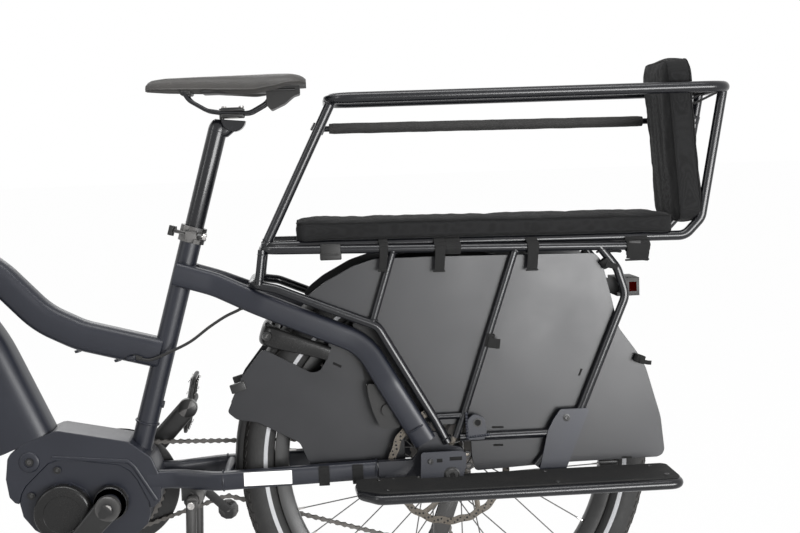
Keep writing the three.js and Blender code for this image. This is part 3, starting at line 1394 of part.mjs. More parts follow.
const cassette = {
  innerY: rearHub.rightFlangeY + hub.flangeThickness + spoke.radius + 2 * fitGap, steps: 5,
};
const rearMech = {
  plateThickness: 2, plateRadius: 15, pinRadius: 4, plateGap: 1.2, bodyRadius: 9, hangerX: 10, hangerZ: 316,
  hangerY: 66,
};

function addRearDrive() {
  const boreRadius = boreAround(rearHub.driveRadius);
  const outerY = chainLine.y + plateWidth / 2;
  const smallRadius = pitchRadius(smallCogTeeth) - toothGap;
  const largeRadius = pitchRadius(largeCogTeeth);
  const chainSide = chainLine.y - chainLine.width / 2 - fitGap;
  const smallStart = chainLine.y - plateWidth / 2;
  const profile = [[boreRadius, cassette.innerY]];
  for (let i = 0; i < cassette.steps; i += 1) {
    const radius = THREE.MathUtils.lerp(largeRadius, smallRadius + toothGap, i / cassette.steps);
    const span = chainSide - cassette.innerY;
    profile.push([radius, cassette.innerY + (span * i) / cassette.steps]);
    profile.push([radius, cassette.innerY + (span * (i + 1)) / cassette.steps]);
  }
  profile.push(
    [smallRadius, chainSide], [smallRadius, smallStart], [smallRadius, outerY], [boreRadius, outerY],
  );
  addPart('cassette', turned(profile, rearAxle.x, rearAxle.y, discSides), steelGrey, 0.35, 0.9);

  const [upper, lower] = chainCircles.slice(2, 4);
  const plateOffset = chainLine.width / 2 + rearMech.plateGap + rearMech.plateThickness / 2;
  const solids = [upper, lower].map(({ x, z, radius }) => join(
    pin(x, z, chainLine.y - plateWidth / 2, chainLine.y + plateWidth / 2, radius - toothGap, rodSides * 2),
    pin(x, z, chainLine.y - plateOffset, chainLine.y + plateOffset, rearMech.pinRadius),
  ));
  for (const y of [chainLine.y - plateOffset, chainLine.y + plateOffset]) {
    const ends = [at(upper.x, y, upper.z), at(lower.x, y, lower.z)];
    solids.push(sweep(ends, boxSection(rearMech.plateThickness, rearMech.plateRadius * 2, 0)));
  }
  const hanger = at(rearMech.hangerX, rearMech.hangerY, rearMech.hangerZ);
  solids.push(rod(hanger, at(upper.x, chainLine.y + plateOffset, upper.z), rearMech.bodyRadius));
  solids.push(
    pin(
      rearMech.hangerX, rearMech.hangerZ, rearMech.hangerY - rearMech.bodyRadius, dropoutMiddleY,
      rearMech.bodyRadius,
    )
  );
  const keepClear = dropoutBody(right, fitGap);
  addPart('derailleur', mainBody(cut(join(...solids), keepClear)), blackPlastic, 0.4, 0.5);
}

// Two-leg stand on a spindle below the chainstays
const stand = {
  x: -420, z: 300, legY: 62.5, legRadius: 8.5, spindleRadius: 10, housingRadius: 15, housingHalf: 38,
  kneeX: -428,
  kneeZ: 116, footX: -434, footY: 140, footRadius: 12, footHeight: 15, topX: [-438, -402], bendRadius: 24,
  idlerGap: 0.9,
};

function addStand() {
  const housing = pin(
    stand.x, stand.z, -stand.housingHalf, stand.housingHalf, stand.housingRadius, discSides,
  );
  const chainstayTop = chainstayRoute[1].z;
  const clampBlock = boxBetween(
    stand.topX[0], stand.topX[1], -stand.housingHalf, stand.housingHalf, stand.z,
    chainstayTop - chainstay.depth / 4,
  );
  const bore = pin(stand.x, stand.z, -stand.legY, stand.legY, boreAround(stand.spindleRadius), discSides);
  const idler = chainCircles[4];
  const armY = chainLine.y + chainLine.width / 2 + stand.idlerGap + rearMech.plateThickness / 2;
  const innerArmY = 2 * chainLine.y - armY;
  const wheel = pin(
    idler.x, idler.z, chainLine.y - plateWidth / 2, chainLine.y + plateWidth / 2, idler.radius - toothGap,
    rodSides * 2,
  );
  const arm = sweep(
    [at(stand.topX[1] - stand.spindleRadius, innerArmY, stand.z), at(idler.x, innerArmY, idler.z)],
    boxSection(rearMech.plateThickness, rearMech.plateRadius, 0),
  );
  const axle = pin(idler.x, idler.z, innerArmY, chainLine.y, rearMech.pinRadius);
  const reach = pin(
    stand.topX[1] - stand.spindleRadius, stand.z, stand.housingHalf - stand.legRadius, innerArmY,
    rearMech.pinRadius * 2,
  );
  const cutters = sides.map(({ sign }) => chainstayBody(sign, fitGap));
  const bracket = cut(join(housing, clampBlock, wheel, arm, axle, reach), bore, ...cutters);
  addPart('stand_bracket', mainBody(bracket), blackPlastic, 0.5, 0.3);

  const solids = [pin(stand.x, stand.z, -stand.legY, stand.legY, stand.spindleRadius, discSides)];
  const ground = boxBetween(
    stand.footX - tyreRadius, stand.footX + tyreRadius, -tyreRadius, tyreRadius, -tyreRadius, 0,
  );
  for (const { sign } of sides) {
    const route = [
      at(stand.x, sign * stand.legY, stand.z + stand.legRadius), at(
        stand.kneeX, sign * stand.legY, stand.kneeZ,
      ),
      at(stand.footX, sign * stand.footY, stand.footHeight / 2),
    ];
    const foot = rod(
      at(stand.footX, sign * stand.footY, 0), at(stand.footX, sign * stand.footY, stand.footHeight),
      stand.footRadius,
      discSides,
    );
    solids.push(
      cut(join(sweep(roundCorners(route, stand.bendRadius), circle(stand.legRadius)), foot), ground)
    );
  }
  addPart('stand_legs', join(...solids), blackPlastic, 0.45, 0.3);
}

function addWheels() {
  addPart('rear_tyre', makeTyre(rearAxle), blackRubber, 0.85, 0);
  addPart('rear_wheel', makeWheel(rearAxle, rearHub), blackPlastic, 0.4, 0.5);
  addPart('rear_rotor', makeRotor(rearAxle, rearHub.rotorY), steelGrey, 0.3, 1);
  addPart('front_tyre', makeTyre(frontAxle), blackRubber, 0.85, 0);
  addPart('front_wheel', makeWheel(frontAxle, frontHub), blackPlastic, 0.4, 0.5);
}

function addRearMudguard() {
  addPart('mudguard_rear', mudguardBody(rearAxle, rearFender.from, rearFender.to), blackSheet, 0.45, 0.1);
}


function addHose() {
  const section = circle(brakeHose.radius, brakeHose.sides);
  addPart('brake_hose_rear', sweep(hoseStations(), section), blackRubber, 0.5, 0);
}

addMainFrame();
addStays();
addRack();
addGuards();
addFootboards();
addCage();
addCushions();
addRearLamp();
addLock();
addSeat();
addCollar();
addSteering();
addChain();
addCranks();
addRearDrive();
addStand();
addWheels();
addRearMudguard();
addHose();

// The middle of the bicycle's length on the ground is the origin
const frontEnd = frontAxle.x - tyreRadius;
const rearEnd = cage.railRearX + cage.railRadius;
bicycle.position.x = -(frontEnd + rearEnd) / 2;

export default bicycle;
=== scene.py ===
import bmesh
import bpy
from math import asin, atan2, ceil, copysign, cos, pi, radians, sin, sqrt, tan
from mathutils import Matrix, Vector, noise
from mathutils.bvhtree import BVHTree


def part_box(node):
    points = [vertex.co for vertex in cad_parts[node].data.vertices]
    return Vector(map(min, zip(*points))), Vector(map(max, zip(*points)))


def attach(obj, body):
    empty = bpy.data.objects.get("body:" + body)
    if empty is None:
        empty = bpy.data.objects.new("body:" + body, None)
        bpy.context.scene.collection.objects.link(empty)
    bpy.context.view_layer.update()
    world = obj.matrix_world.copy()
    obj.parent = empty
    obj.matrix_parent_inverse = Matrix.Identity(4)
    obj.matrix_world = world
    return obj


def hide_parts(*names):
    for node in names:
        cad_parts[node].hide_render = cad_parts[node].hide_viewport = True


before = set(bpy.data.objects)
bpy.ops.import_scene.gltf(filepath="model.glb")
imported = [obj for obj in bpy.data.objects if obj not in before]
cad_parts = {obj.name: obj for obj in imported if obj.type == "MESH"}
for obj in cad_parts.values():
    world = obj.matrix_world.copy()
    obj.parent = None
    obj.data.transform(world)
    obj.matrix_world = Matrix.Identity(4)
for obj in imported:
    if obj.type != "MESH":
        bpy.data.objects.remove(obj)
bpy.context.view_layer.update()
print("frame loaded:", len(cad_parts), "nodes")

# Lengths below are millimetres: x from the rear axle backwards, y from the middle to the right, z from the ground
axleShift = 551.5
across = Vector((0, 1, 0))
backwards = Vector((1, 0, 0))
upwards = Vector((0, 0, 1))
mergeDistance = 2e-6
tyreRadius = 342
wheelbase = 1240
crankAxle = (-550, 306)
sides = {"Left": -1, "Right": 1}
nodeSide = {"Left": "left", "Right": "right"}


def at(x, y, z):
    return Vector(((x + axleShift) / 1000, y / 1000, z / 1000))


def mm(value):
    return value / 1000


def lerp(a, b, share):
    return a + (b - a) * share


def outward(sign):
    # Away from the bike's middle, for a sign of -1 on the left and 1 on the right
    return Vector((0, sign, 0))


# Paints: a Wire is one output socket, a Paint is one material being wired
class Wire:
    def __init__(self, paint, socket):
        self.paint = paint
        self.socket = socket

    def __add__(self, other):
        return self.paint.sum("ADD", self, other)

    def __radd__(self, other):
        return self.paint.sum("ADD", other, self)

    def __mul__(self, other):
        return self.paint.sum("MULTIPLY", self, other)

    def __rmul__(self, other):
        return self.paint.sum("MULTIPLY", other, self)

    def __pow__(self, other):
        return self.paint.sum("POWER", self, other)


class Paint:
    def __init__(self, name, **constants):
        self.material = bpy.data.materials.new(name)
        self.material.use_nodes = True
        self.tree = self.material.node_tree
        self.shader = self.tree.nodes["Principled BSDF"]
        for socket, value in constants.items():
            self.shader.inputs[socket.replace("_", " ")].default_value = value

    def node(self, kind, settings, inputs, out=0):
        made = self.tree.nodes.new(kind)
        for key, value in settings.items():
            setattr(made, key, value)
        for key, value in inputs.items():
            self.plug(made.inputs[key], value)
        return Wire(self, made.outputs[out])

    def plug(self, socket, value):
        if isinstance(value, Wire):
            self.tree.links.new(value.socket, socket)
        elif value is not None:
            socket.default_value = value

    def sum(self, operation, a, b):
        return self.node("ShaderNodeMath", {"operation": operation}, {0: a, 1: b})

    def coords(self, location=(0, 0, 0)):
        raw = self.node("ShaderNodeTexCoord", {}, {}, "Object")
        return self.node("ShaderNodeMapping", {}, {"Vector": raw, "Location": location})

    def noise(self, scale, detail=2.0, roughness=0.5, coords=None):
        return self.node("ShaderNodeTexNoise", {}, {
            "Vector": coords or self.coords(), "Scale": scale, "Detail": detail, "Roughness": roughness})

    def grains(self, scale):
        return self.node("ShaderNodeTexVoronoi", {"feature": "F1"}, {"Vector": self.coords(), "Scale": scale})

    def wave(self, direction, scale, coords, distortion=0.0, detailScale=1.0):
        return self.node("ShaderNodeTexWave", {"bands_direction": direction}, {
            "Vector": coords, "Scale": scale, "Distortion": distortion, "Detail Scale": detailScale})

    def fromAxle(self, axleX):
        # Coordinates counted from an axle, and the distance from it
        place = self.coords((-(axleX + axleShift) / 1000, 0, -tyreRadius / 1000))
        return place, (self.axis(place, "X") ** 2 + self.axis(place, "Z") ** 2) ** 0.5

    def stretch(self, value, low, high, newLow, newHigh):
        return self.node("ShaderNodeMapRange", {"clamp": True}, {
            0: value, 1: low, 2: high, 3: newLow, 4: newHigh})

    def blend(self, mask, a, b):
        return self.node("ShaderNodeMix", {"data_type": "RGBA"}, {0: mask, 6: a, 7: b}, 2)

    def axis(self, coords, name):
        return self.node("ShaderNodeSeparateXYZ", {}, {0: coords}, name)

    def bump(self, height, strength, distance, base=None):
        inputs = {"Height": height, "Strength": strength, "Distance": distance}
        if base:
            inputs["Normal"] = base
        return self.node("ShaderNodeBump", {}, inputs)

    def wear(self, low=0.53, high=0.6):
        return self.stretch(self.node("ShaderNodeNewGeometry", {}, {}, "Pointiness"), low, high, 0, 1)

    def finish(self, **inputs):
        for socket, value in inputs.items():
            self.plug(self.shader.inputs[socket.replace("_", " ")], value)
        return self.material


def grey(value, warmth=0.0, blue=0.0):
    return (value * (1 + warmth - blue * 0.25), value, value * (1 - warmth + blue), 1)


# Finishes: a shade is the grey of the base colour, rough the middle of its roughness
def powderCoat(name, shade, rough, grain, blue=0.12, dust=0.35, index=1.5):
    paint = Paint(name, IOR=index)
    cloud = paint.noise(9, 4, 0.6)
    speck = paint.noise(1400, 2, 0.6)
    tone = paint.blend(cloud, grey(shade * (1 - dust / 2), 0, blue), grey(shade * (1 + dust), 0.02, blue))
    colour = paint.blend(paint.wear(0.58, 0.7) * 0.3, tone, grey(shade * 3, 0.02, blue))
    roughness = paint.stretch(cloud + speck * 0.1, 0.3, 0.8, rough - 0.05, rough + 0.06)
    orangePeel = paint.bump(paint.noise(260, 2, 0.5), grain * 0.15, 0.0006)
    return paint.finish(Base_Color=colour, Roughness=roughness,
                        Normal=paint.bump(speck, grain, 0.0003, orangePeel))


def anodised(name, shade, rough):
    paint = Paint(name, IOR=1.42)
    cloud = paint.noise(30, 4, 0.6)
    edge = paint.wear(0.55, 0.62)
    colour = paint.blend(edge * 0.6, paint.blend(cloud, grey(shade * 0.8), grey(shade * 1.25)), grey(0.16, 0.03))
    return paint.finish(Base_Color=colour, Roughness=paint.stretch(cloud, 0.3, 0.7, rough - 0.05, rough + 0.09),
                        Normal=paint.bump(paint.noise(900, 2, 0.5), 0.12, 0.0003))


def brightSteel(name, shade, rough, warmth=0.04):
    paint = Paint(name, Metallic=1.0)
    scratches = paint.noise(420, 4, 0.7)
    stain = paint.noise(36, 4, 0.6)
    colour = paint.blend(stain, grey(shade * 0.72, warmth), grey(shade * 1.15, warmth / 2))
    roughness = paint.stretch(scratches + stain * 0.5, 0.4, 1.1, rough - 0.08, rough + 0.14)
    return paint.finish(Base_Color=colour, Roughness=roughness,
                        Normal=paint.bump(scratches, 0.18, 0.0002))


def turnedSteel(name, shade, rough, axleX):
    paint = Paint(name, Metallic=1.0)
    reach = paint.fromAxle(axleX)[1]
    rings = paint.noise(1, 3, 0.6, paint.node("ShaderNodeCombineXYZ", {}, {0: reach * 1600}))
    stain = paint.noise(40, 3, 0.6)
    stained, clean = (shade * 0.95, shade * 0.8, shade * 0.64, 1), (shade * 1.3, shade * 1.22, shade * 1.1, 1)
    colour = paint.blend(stain, stained, clean)
    return paint.finish(Base_Color=colour, Roughness=paint.stretch(rings, 0.3, 0.7, rough - 0.07, rough + 0.1),
                        Normal=paint.bump(rings, 0.25, 0.00025))


def mouldedPlastic(name, shade, rough, grain=0.25, scale=900):
    paint = Paint(name, IOR=1.37)
    cloud = paint.noise(22, 4, 0.6)
    cells = paint.grains(scale)
    colour = paint.blend(cloud, grey(shade * 0.8), grey(shade * 1.3, 0.02))
    roughness = paint.stretch(cloud + cells * 0.4, 0.3, 1.0, rough - 0.06, rough + 0.1)
    return paint.finish(Base_Color=colour, Roughness=roughness,
                        Normal=paint.bump(cells, grain, 0.0003))


def tyreRubber(name, axleX):
    paint = Paint(name, IOR=1.45)
    place, reach = paint.fromAxle(axleX)
    inStripe = paint.stretch(reach, 0.2965, 0.2972, 0, 1) * paint.stretch(reach, 0.3028, 0.3035, 1, 0)
    dust = paint.noise(60, 5, 0.65)
    fine = paint.noise(1500, 2, 0.5)
    dusty = paint.stretch(reach, 0.325, 0.342, 0, 0.55) * dust
    rubber = paint.blend(dusty, grey(0.016, 0.01), grey(0.055, 0.12))
    sheen = paint.noise(700, 2, 0.5)
    colour = paint.blend(inStripe * (sheen * 0.3 + 0.75), rubber, grey(0.42, 0.0, 0.03))
    grooves = paint.node("ShaderNodeTexWave", {"wave_type": "RINGS", "rings_direction": "Y"}, {
        "Vector": place, "Scale": 140.0, "Distortion": 0.0})
    sideRings = grooves * paint.stretch(reach, 0.318, 0.322, 1, 0)
    height = fine * 0.4 + sideRings * 0.6
    return paint.finish(Base_Color=colour, Roughness=paint.stretch(dust, 0.3, 0.8, 0.62, 0.85),
                        Normal=paint.bump(height, 0.35, 0.0005))


def benchCloth(name, shade=0.011):
    paint = Paint(name, IOR=1.24, Sheen_Weight=0.04, Sheen_Roughness=0.4)
    place = paint.coords()
    warp, weft, rise = [paint.wave(direction, 420, place, 1.2, 3) for direction in "XYZ"]
    weave = warp * 0.34 + weft * 0.33 + rise * 0.33
    lint = paint.stretch(paint.noise(520, 3, 0.7), 0.68, 0.78, 0, 0.4)
    cloud = paint.noise(14, 4, 0.6)
    base = paint.blend(weave, grey(shade * 0.55), grey(shade * 1.6, 0.0, 0.05))
    colour = paint.blend(lint, paint.blend(cloud * 0.5, base, grey(shade * 0.7)), grey(shade * 3.4))
    return paint.finish(Base_Color=colour, Roughness=paint.stretch(weave, 0.2, 0.8, 0.94, 0.78),
                        Normal=paint.bump(weave + paint.noise(70, 3, 0.6) * 0.8, 0.5, 0.0007))


def webbing(name, shade=0.009):
    paint = Paint(name, IOR=1.28, Sheen_Weight=0.03)
    ribs = paint.wave("Z", 260, paint.coords(), 0.6, 2)
    cross = paint.wave("X", 330, paint.coords(), 0.6, 2)
    weave = ribs * 0.6 + cross * 0.4
    return paint.finish(Base_Color=paint.blend(weave, grey(shade * 0.5), grey(shade * 1.7)),
                        Roughness=paint.stretch(weave, 0.2, 0.8, 0.9, 0.7), Normal=paint.bump(weave, 0.6, 0.0006))


def saddleVinyl(name):
    paint = Paint(name, IOR=1.47)
    cells = paint.grains(620)
    creases = paint.noise(48, 4, 0.6)
    colour = paint.blend(creases, grey(0.022, 0.05), grey(0.04, 0.07))
    scuffs = paint.stretch(paint.noise(130, 5, 0.7), 0.6, 0.72, 0, 0.5)
    return paint.finish(Base_Color=paint.blend(scuffs, colour, grey(0.07, 0.06)),
                        Roughness=paint.stretch(creases + cells * 0.3, 0.3, 0.9, 0.44, 0.66),
                        Normal=paint.bump(cells + creases * 0.6, 0.35, 0.0005))


def foamSleeve(name):
    paint = Paint(name, IOR=1.4)
    pores = paint.grains(760)
    dents = paint.noise(60, 3, 0.6)
    return paint.finish(Base_Color=paint.blend(dents, grey(0.011), grey(0.024, 0.03)),
                        Roughness=paint.stretch(pores, 0, 0.6, 0.95, 0.78),
                        Normal=paint.bump(pores + dents * 0.5, 0.55, 0.0006))


def lampRed(name, base, deep, glow=0.0):
    paint = Paint(name, IOR=1.49, Coat_Weight=0.6, Coat_Roughness=0.05, Emission_Strength=glow)
    place = paint.coords()
    prism = paint.wave("Z", 150, place)
    cross = paint.wave("Y", 150, place)
    cells = prism * 0.5 + cross * 0.5
    return paint.finish(Base_Color=paint.blend(cells, deep, base), Roughness=paint.stretch(cells, 0, 1, 0.1, 0.3),
                        Emission_Color=paint.blend(cells, deep, base), Normal=paint.bump(cells, 0.5, 0.0008))


def gripBoard(name):
    paint = Paint(name, IOR=1.33)
    grit = paint.grains(1100)
    dust = paint.stretch(paint.noise(28, 5, 0.65), 0.5, 0.8, 0, 0.5)
    return paint.finish(Base_Color=paint.blend(dust, grey(0.008), grey(0.02, 0.1)),
                        Roughness=paint.stretch(grit, 0, 0.6, 0.9, 0.7), Normal=paint.bump(grit, 0.7, 0.0006))


finishes = {
    "frame": powderCoat("framePowder", 0.01, 0.38, 0.1, 0.55, 0.35, 1.43),
    "tube": powderCoat("satinPowder", 0.005, 0.24, 0.03, 0.3, 0.25, 1.44),
    "sheet": powderCoat("guardPowder", 0.006, 0.36, 0.05, 0.3, 0.2, 1.46),
    "plate": powderCoat("plateGrey", 0.012, 0.4, 0.1, 0.3, 0.3, 1.4),
    "black": anodised("blackAnodised", 0.011, 0.32),
    "spoke": anodised("blackSpoke", 0.02, 0.3),
    "steel": brightSteel("boltSteel", 0.5, 0.28),
    "chain": brightSteel("chainSteel", 0.12, 0.38, 0.08),
    "cog": brightSteel("cogSteel", 0.12, 0.36, 0.08),
    "plastic": mouldedPlastic("blackPlastic", 0.01, 0.45),
    "gloss": mouldedPlastic("glossPlastic", 0.008, 0.22, 0.05, 600),
    "fender": mouldedPlastic("fenderPlastic", 0.009, 0.4, 0.12, 1200),
    "grip": mouldedPlastic("gripRubber", 0.015, 0.78, 0.5, 420),
    "hose": mouldedPlastic("hoseJacket", 0.013, 0.42, 0.1, 1600),
    "rearTyre": tyreRubber("rearTyreRubber", 0),
    "frontTyre": tyreRubber("frontTyreRubber", -wheelbase),
    "rearDisc": turnedSteel("rearDiscSteel", 0.09, 0.3, 0),
    "frontDisc": turnedSteel("frontDiscSteel", 0.09, 0.3, -wheelbase),
    "cloth": benchCloth("benchCloth"),
    "piping": benchCloth("benchPiping", 0.007),
    "strap": webbing("strapWebbing"),
    "vinyl": saddleVinyl("saddleVinyl"),
    "foam": foamSleeve("foamSleeve"),
    "lens": lampRed("redLens", (0.5, 0.015, 0.01, 1), (0.2, 0.004, 0.003, 1), 0.15),
    "clear": mouldedPlastic("clearLens", 0.55, 0.12, 0.3, 200),
    "patch": mouldedPlastic("whitePatch", 0.78, 0.35, 0.05, 700),
    "board": gripBoard("gripBoard"),
    # Near-black patches put where holes and slots are: painted shade
    "shade": mouldedPlastic("holeShade", 0.002, 0.8, 0.05, 500),
}
print("finishes ready:", len(finishes))


# Modelling helpers
def meshFrom(name, bm):
    mesh = bpy.data.meshes.new(name)
    bm.to_mesh(mesh)
    bm.free()
    return mesh


def linked(name, data):
    made = bpy.data.objects.new(name, data)
    bpy.context.scene.collection.objects.link(made)
    return made


def newPiece(name, bm, finish, body, stands=(), smooth=38):
    # A working mesh becomes a piece: smooth is the angle in degrees above which an edge stays hard
    mesh = meshFrom(name, bm)
    mesh.materials.append(finishes[finish])
    piece = linked(name, mesh)
    mesh.shade_smooth()
    if smooth < 180:
        mesh.set_sharp_from_angle(angle=radians(smooth))
    # The big faces of plates and caps are flat whatever the edges round them do
    for face in mesh.polygons:
        if len(face.vertices) > 12:
            face.use_smooth = False
    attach(piece, body)
    if stands:
        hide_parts(*stands)
    return piece


def softened(bm, parts, width, segments, affect="EDGES"):
    return bmesh.ops.bevel(bm, geom=parts, offset=mm(width), segments=segments, profile=0.5, affect=affect,
                           clamp_overlap=True, material=-1)


def outwardFaces(bm):
    bmesh.ops.recalc_face_normals(bm, faces=bm.faces[:])


def thickened(bm, face, shift):
    # Pulls a solid out of one flat face
    made = bmesh.ops.extrude_face_region(bm, geom=[face])
    fresh = [v for v in made["geom"] if isinstance(v, bmesh.types.BMVert)]
    bmesh.ops.translate(bm, vec=shift, verts=fresh)


def bend(points, radius, steps=7, closed=False):
    # A route through the points, its corners rounded
    count = len(points)
    route = []
    for i, corner in enumerate(points):
        if not closed and i in (0, count - 1):
            route.append(corner.copy())
            continue
        before = points[i - 1] - corner
        after = points[(i + 1) % count] - corner
        turn = pi - before.angle(after)
        if turn < 0.02:
            route.append(corner.copy())
            continue
        reach = min(mm(radius) * tan(turn / 2), min(before.length, after.length) * 0.499)
        start = corner + before.normalized() * reach
        end = corner + after.normalized() * reach
        for k in range(steps + 1):
            s = k / steps
            route.append(start * (1 - s) ** 2 + corner * 2 * s * (1 - s) + end * s ** 2)
    return route


def headings(points, closed=False):
    count = len(points)
    result = []
    for i in range(count):
        before = points[i - 1] if closed or i else points[i]
        after = points[(i + 1) % count] if closed or i < count - 1 else points[i]
        result.append((after - before).normalized())
    return result


def ring(bm, middle, heading, sideways, halfWidth, halfDepth, power, count):
    made = bmesh.ops.create_circle(bm, segments=count, radius=1)["verts"]
    if power != 2:
        for v in made:
            v.co.x = copysign(abs(v.co.x) ** (2 / power), v.co.x)
            v.co.y = copysign(abs(v.co.y) ** (2 / power), v.co.y)
    upright = heading.cross(sideways).normalized()
    place = Matrix((sideways * halfWidth, upright * halfDepth, heading)).transposed().to_4x4()
    place.translation = middle
    bmesh.ops.transform(bm, matrix=place, verts=made)
    return made


def sweep(bm, points, halfWidth, halfDepth=None, power=2, count=24, closed=False, side=across, caps=True,
          sizes=None):
    # A rounded section drawn along a route: power 2 is an ellipse, more is boxier, and side is the way of its width
    halfDepth = halfDepth or halfWidth
    ways = headings(points, closed)
    if abs(ways[0].dot(side)) > 0.95:
        side = backwards if abs(ways[0].x) < 0.9 else upwards
    rings = []
    for i, (point, way) in enumerate(zip(points, ways)):
        side = (side - way * side.dot(way)).normalized()
        share = sizes[i] if sizes else 1
        rings.append(ring(bm, point, way, side, mm(halfWidth) * share, mm(halfDepth) * share, power, count))
    for a, b in zip(rings, rings[1:] + ([rings[0]] if closed else [])):
        joinRings(bm, a, b, closed and b is rings[0])
    if caps and not closed:
        bm.faces.new(list(reversed(rings[0])))
        bm.faces.new(rings[-1])


def joinRings(bm, a, b, search=False):
    # Search starts at the nearest pair of points, for a route that comes back to its start
    count = len(a)
    shift = 0
    if search:
        shift = min(range(count), key=lambda k: (a[0].co - b[k].co).length)
    for i in range(count):
        j = (i + 1) % count
        bm.faces.new((a[i], a[j], b[(j + shift) % count], b[(i + shift) % count]))


def tube(bm, points, radius, bendRadius=0, count=20):
    sweep(bm, bend(points, bendRadius) if bendRadius else points, radius, count=count)


def turned(bm, profile, middle, axis=across, steps=64, closed=False):
    # A profile of (radius, distance along the axis) pairs spun round the axis
    axis = axis.normalized()
    out = axis.orthogonal().normalized()
    verts = [bm.verts.new(middle + out * mm(r) + axis * mm(d)) for r, d in profile]
    edges = [bm.edges.new(pair) for pair in zip(verts, verts[1:])]
    if closed:
        edges.append(bm.edges.new((verts[-1], verts[0])))
    bmesh.ops.spin(bm, geom=verts + edges, cent=middle, axis=axis, angle=2 * pi, steps=steps, use_merge=True)
    bmesh.ops.remove_doubles(bm, verts=bm.verts[:], dist=mergeDistance)


def roundedBox(bm, middle, size, corner=1.5, turn=None):
    made = bmesh.ops.create_cube(bm, size=1)["verts"]
    bmesh.ops.scale(bm, vec=Vector([mm(s) for s in size]), verts=made)
    edges = list({e for v in made for e in v.link_edges})
    bevelled = softened(bm, edges, corner, 3)
    verts = list({v for f in bevelled["faces"] for v in f.verts} | {v for v in made if v.is_valid})
    place = (turn or Matrix()).to_4x4()
    place.translation = middle
    bmesh.ops.transform(bm, matrix=place, verts=verts)


def add(bm, extra):
    # Joins a second working mesh onto the first
    mesh = meshFrom("extra", extra)
    bm.from_mesh(mesh)
    bpy.data.meshes.remove(mesh)


def cutAway(bm, place, normal, **which):
    # Cuts a working mesh by a plane, clears one side of it and closes the cut
    everything = bm.verts[:] + bm.edges[:] + bm.faces[:]
    bmesh.ops.bisect_plane(bm, geom=everything, dist=1e-7, plane_co=place, plane_no=normal, **which)
    bmesh.ops.edgeloop_fill(bm, edges=[e for e in bm.edges if len(e.link_faces) == 1])


def facing(axis):
    # A turn that brings the z axis onto the given one
    axis = axis.normalized()
    up = backwards if abs(axis.dot(upwards)) > 0.95 else upwards
    x = up.cross(axis).normalized()
    return Matrix((x, axis.cross(x), axis)).transposed()


def capScrew(bm, middle, axis, radius=4, height=3, socket=0.55, washer=0):
    # A socket head standing on middle, its recess sunk into the top
    profile = [(washer, 0), (washer, 0.9), (radius, 1.1)] if washer else [(radius, 0)]
    hole = radius * socket
    profile += [(radius, height - 0.5), (radius - 0.5, height), (hole, height), (hole * 0.96, height - 0.3),
                (hole * 0.96, height * 0.35), (0.01, height * 0.35)]
    turned(bm, profile, middle, axis, 12)


def weldBead(bm, middle, axis, radius, thickness=1.9, seed=1, squash=1.0, side=None, count=64):
    # A wavy ring of overlapping drops laid round a joint
    axis = axis.normalized()
    x = side or axis.orthogonal().normalized()
    y = axis.cross(x).normalized()
    points, sizes = [], []
    drops = max(18, int(2 * pi * radius / 3.2))
    for i in range(count):
        angle = 2 * pi * i / count
        wobble = noise.noise(Vector((cos(angle) * 2, sin(angle) * 2, seed)))
        reach = mm(radius + 0.5 * wobble)
        points.append(middle + x * cos(angle) * reach + y * sin(angle) * reach * squash + axis * mm(0.5 * wobble))
        sizes.append(0.82 + 0.2 * abs(sin(angle * drops / 2)) + 0.1 * wobble)
    sweep(bm, points, thickness, count=8, closed=True, sizes=sizes)


def plateOutline(bm, points, y, thickness, corner, segments=3):
    # A sheet cut to an outline in the plane of x and z, corners rounded, then given its thickness
    verts = [bm.verts.new(at(x, y, z)) for x, z in points]
    bm.faces.new(verts)
    softened(bm, verts, corner, segments, "VERTICES")
    face = max((f for f in bm.faces if f.is_valid), key=lambda f: f.calc_area())
    thickened(bm, face, across * mm(thickness))
    outwardFaces(bm)


def rimEdges(bm, axis, least=1):
    # The hard edges that run round a plate's two faces, axis being the number of its thin direction
    level = [e for e in bm.edges if abs(e.verts[0].co[axis] - e.verts[1].co[axis]) < 1e-6]
    return [e for e in level if e.calc_face_angle(0) > least]


def refined(name, node, finish, body, bevel=0.6, segments=2, angle=28, smooth=34):
    # The CAD node's own shape with its loose triangles joined and its hard edges rounded
    bm = bmesh.new()
    bm.from_mesh(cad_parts[node].data)
    bmesh.ops.remove_doubles(bm, verts=bm.verts[:], dist=mergeDistance)
    bmesh.ops.dissolve_limit(bm, angle_limit=radians(1.5), verts=bm.verts[:], edges=bm.edges[:])
    hard = [e for e in bm.edges if len(e.link_faces) == 2 and e.calc_face_angle(0) > radians(angle)]
    softened(bm, hard, bevel, segments)
    newPiece(name, bm, finish, body, (node,), smooth)


# Main frame tubes: a route of (x, z) places, then half the width and depth of the section
mainTubes = {
    "topTube": {"node": "top_tube", "route": [(-1012, 826), (-900, 795), (-800, 745), (-712, 673), (-650, 606),
                (-590, 575), (-463, 540)], "width": 22, "depth": 25, "power": 3.2, "bend": 150},
    "downTube": {"node": "down_tube", "route": [(-1020, 773), (-930, 718), (-830, 652), (-757, 570), (-686, 405)],
                 "width": 39, "depth": 49, "power": 3.6, "bend": 260},
}


def makeMainTubes():
    for name, size in mainTubes.items():
        bm = bmesh.new()
        route = bend([at(x, 0, z) for x, z in size["route"]], size["bend"], 9)
        sweep(bm, route, size["width"], size["depth"], size["power"], 40)
        if name == "topTube":
            sweep(bm, [at(-514, -20, 535.5), at(-508, -25, 536.4), at(-500, -27.5, 537)], 4.6, count=16)
            for x, z in ((-597, 551), (-534, 533)):
                turned(bm, [(0.01, 0), (6.5, 0), (6, 4), (3.2, 4.6), (0.01, 3.2)],
                       at(x, 0, z), Vector((0.25, 0, -1)), 20)
        newPiece(name, bm, "frame", "frame", (size["node"],))


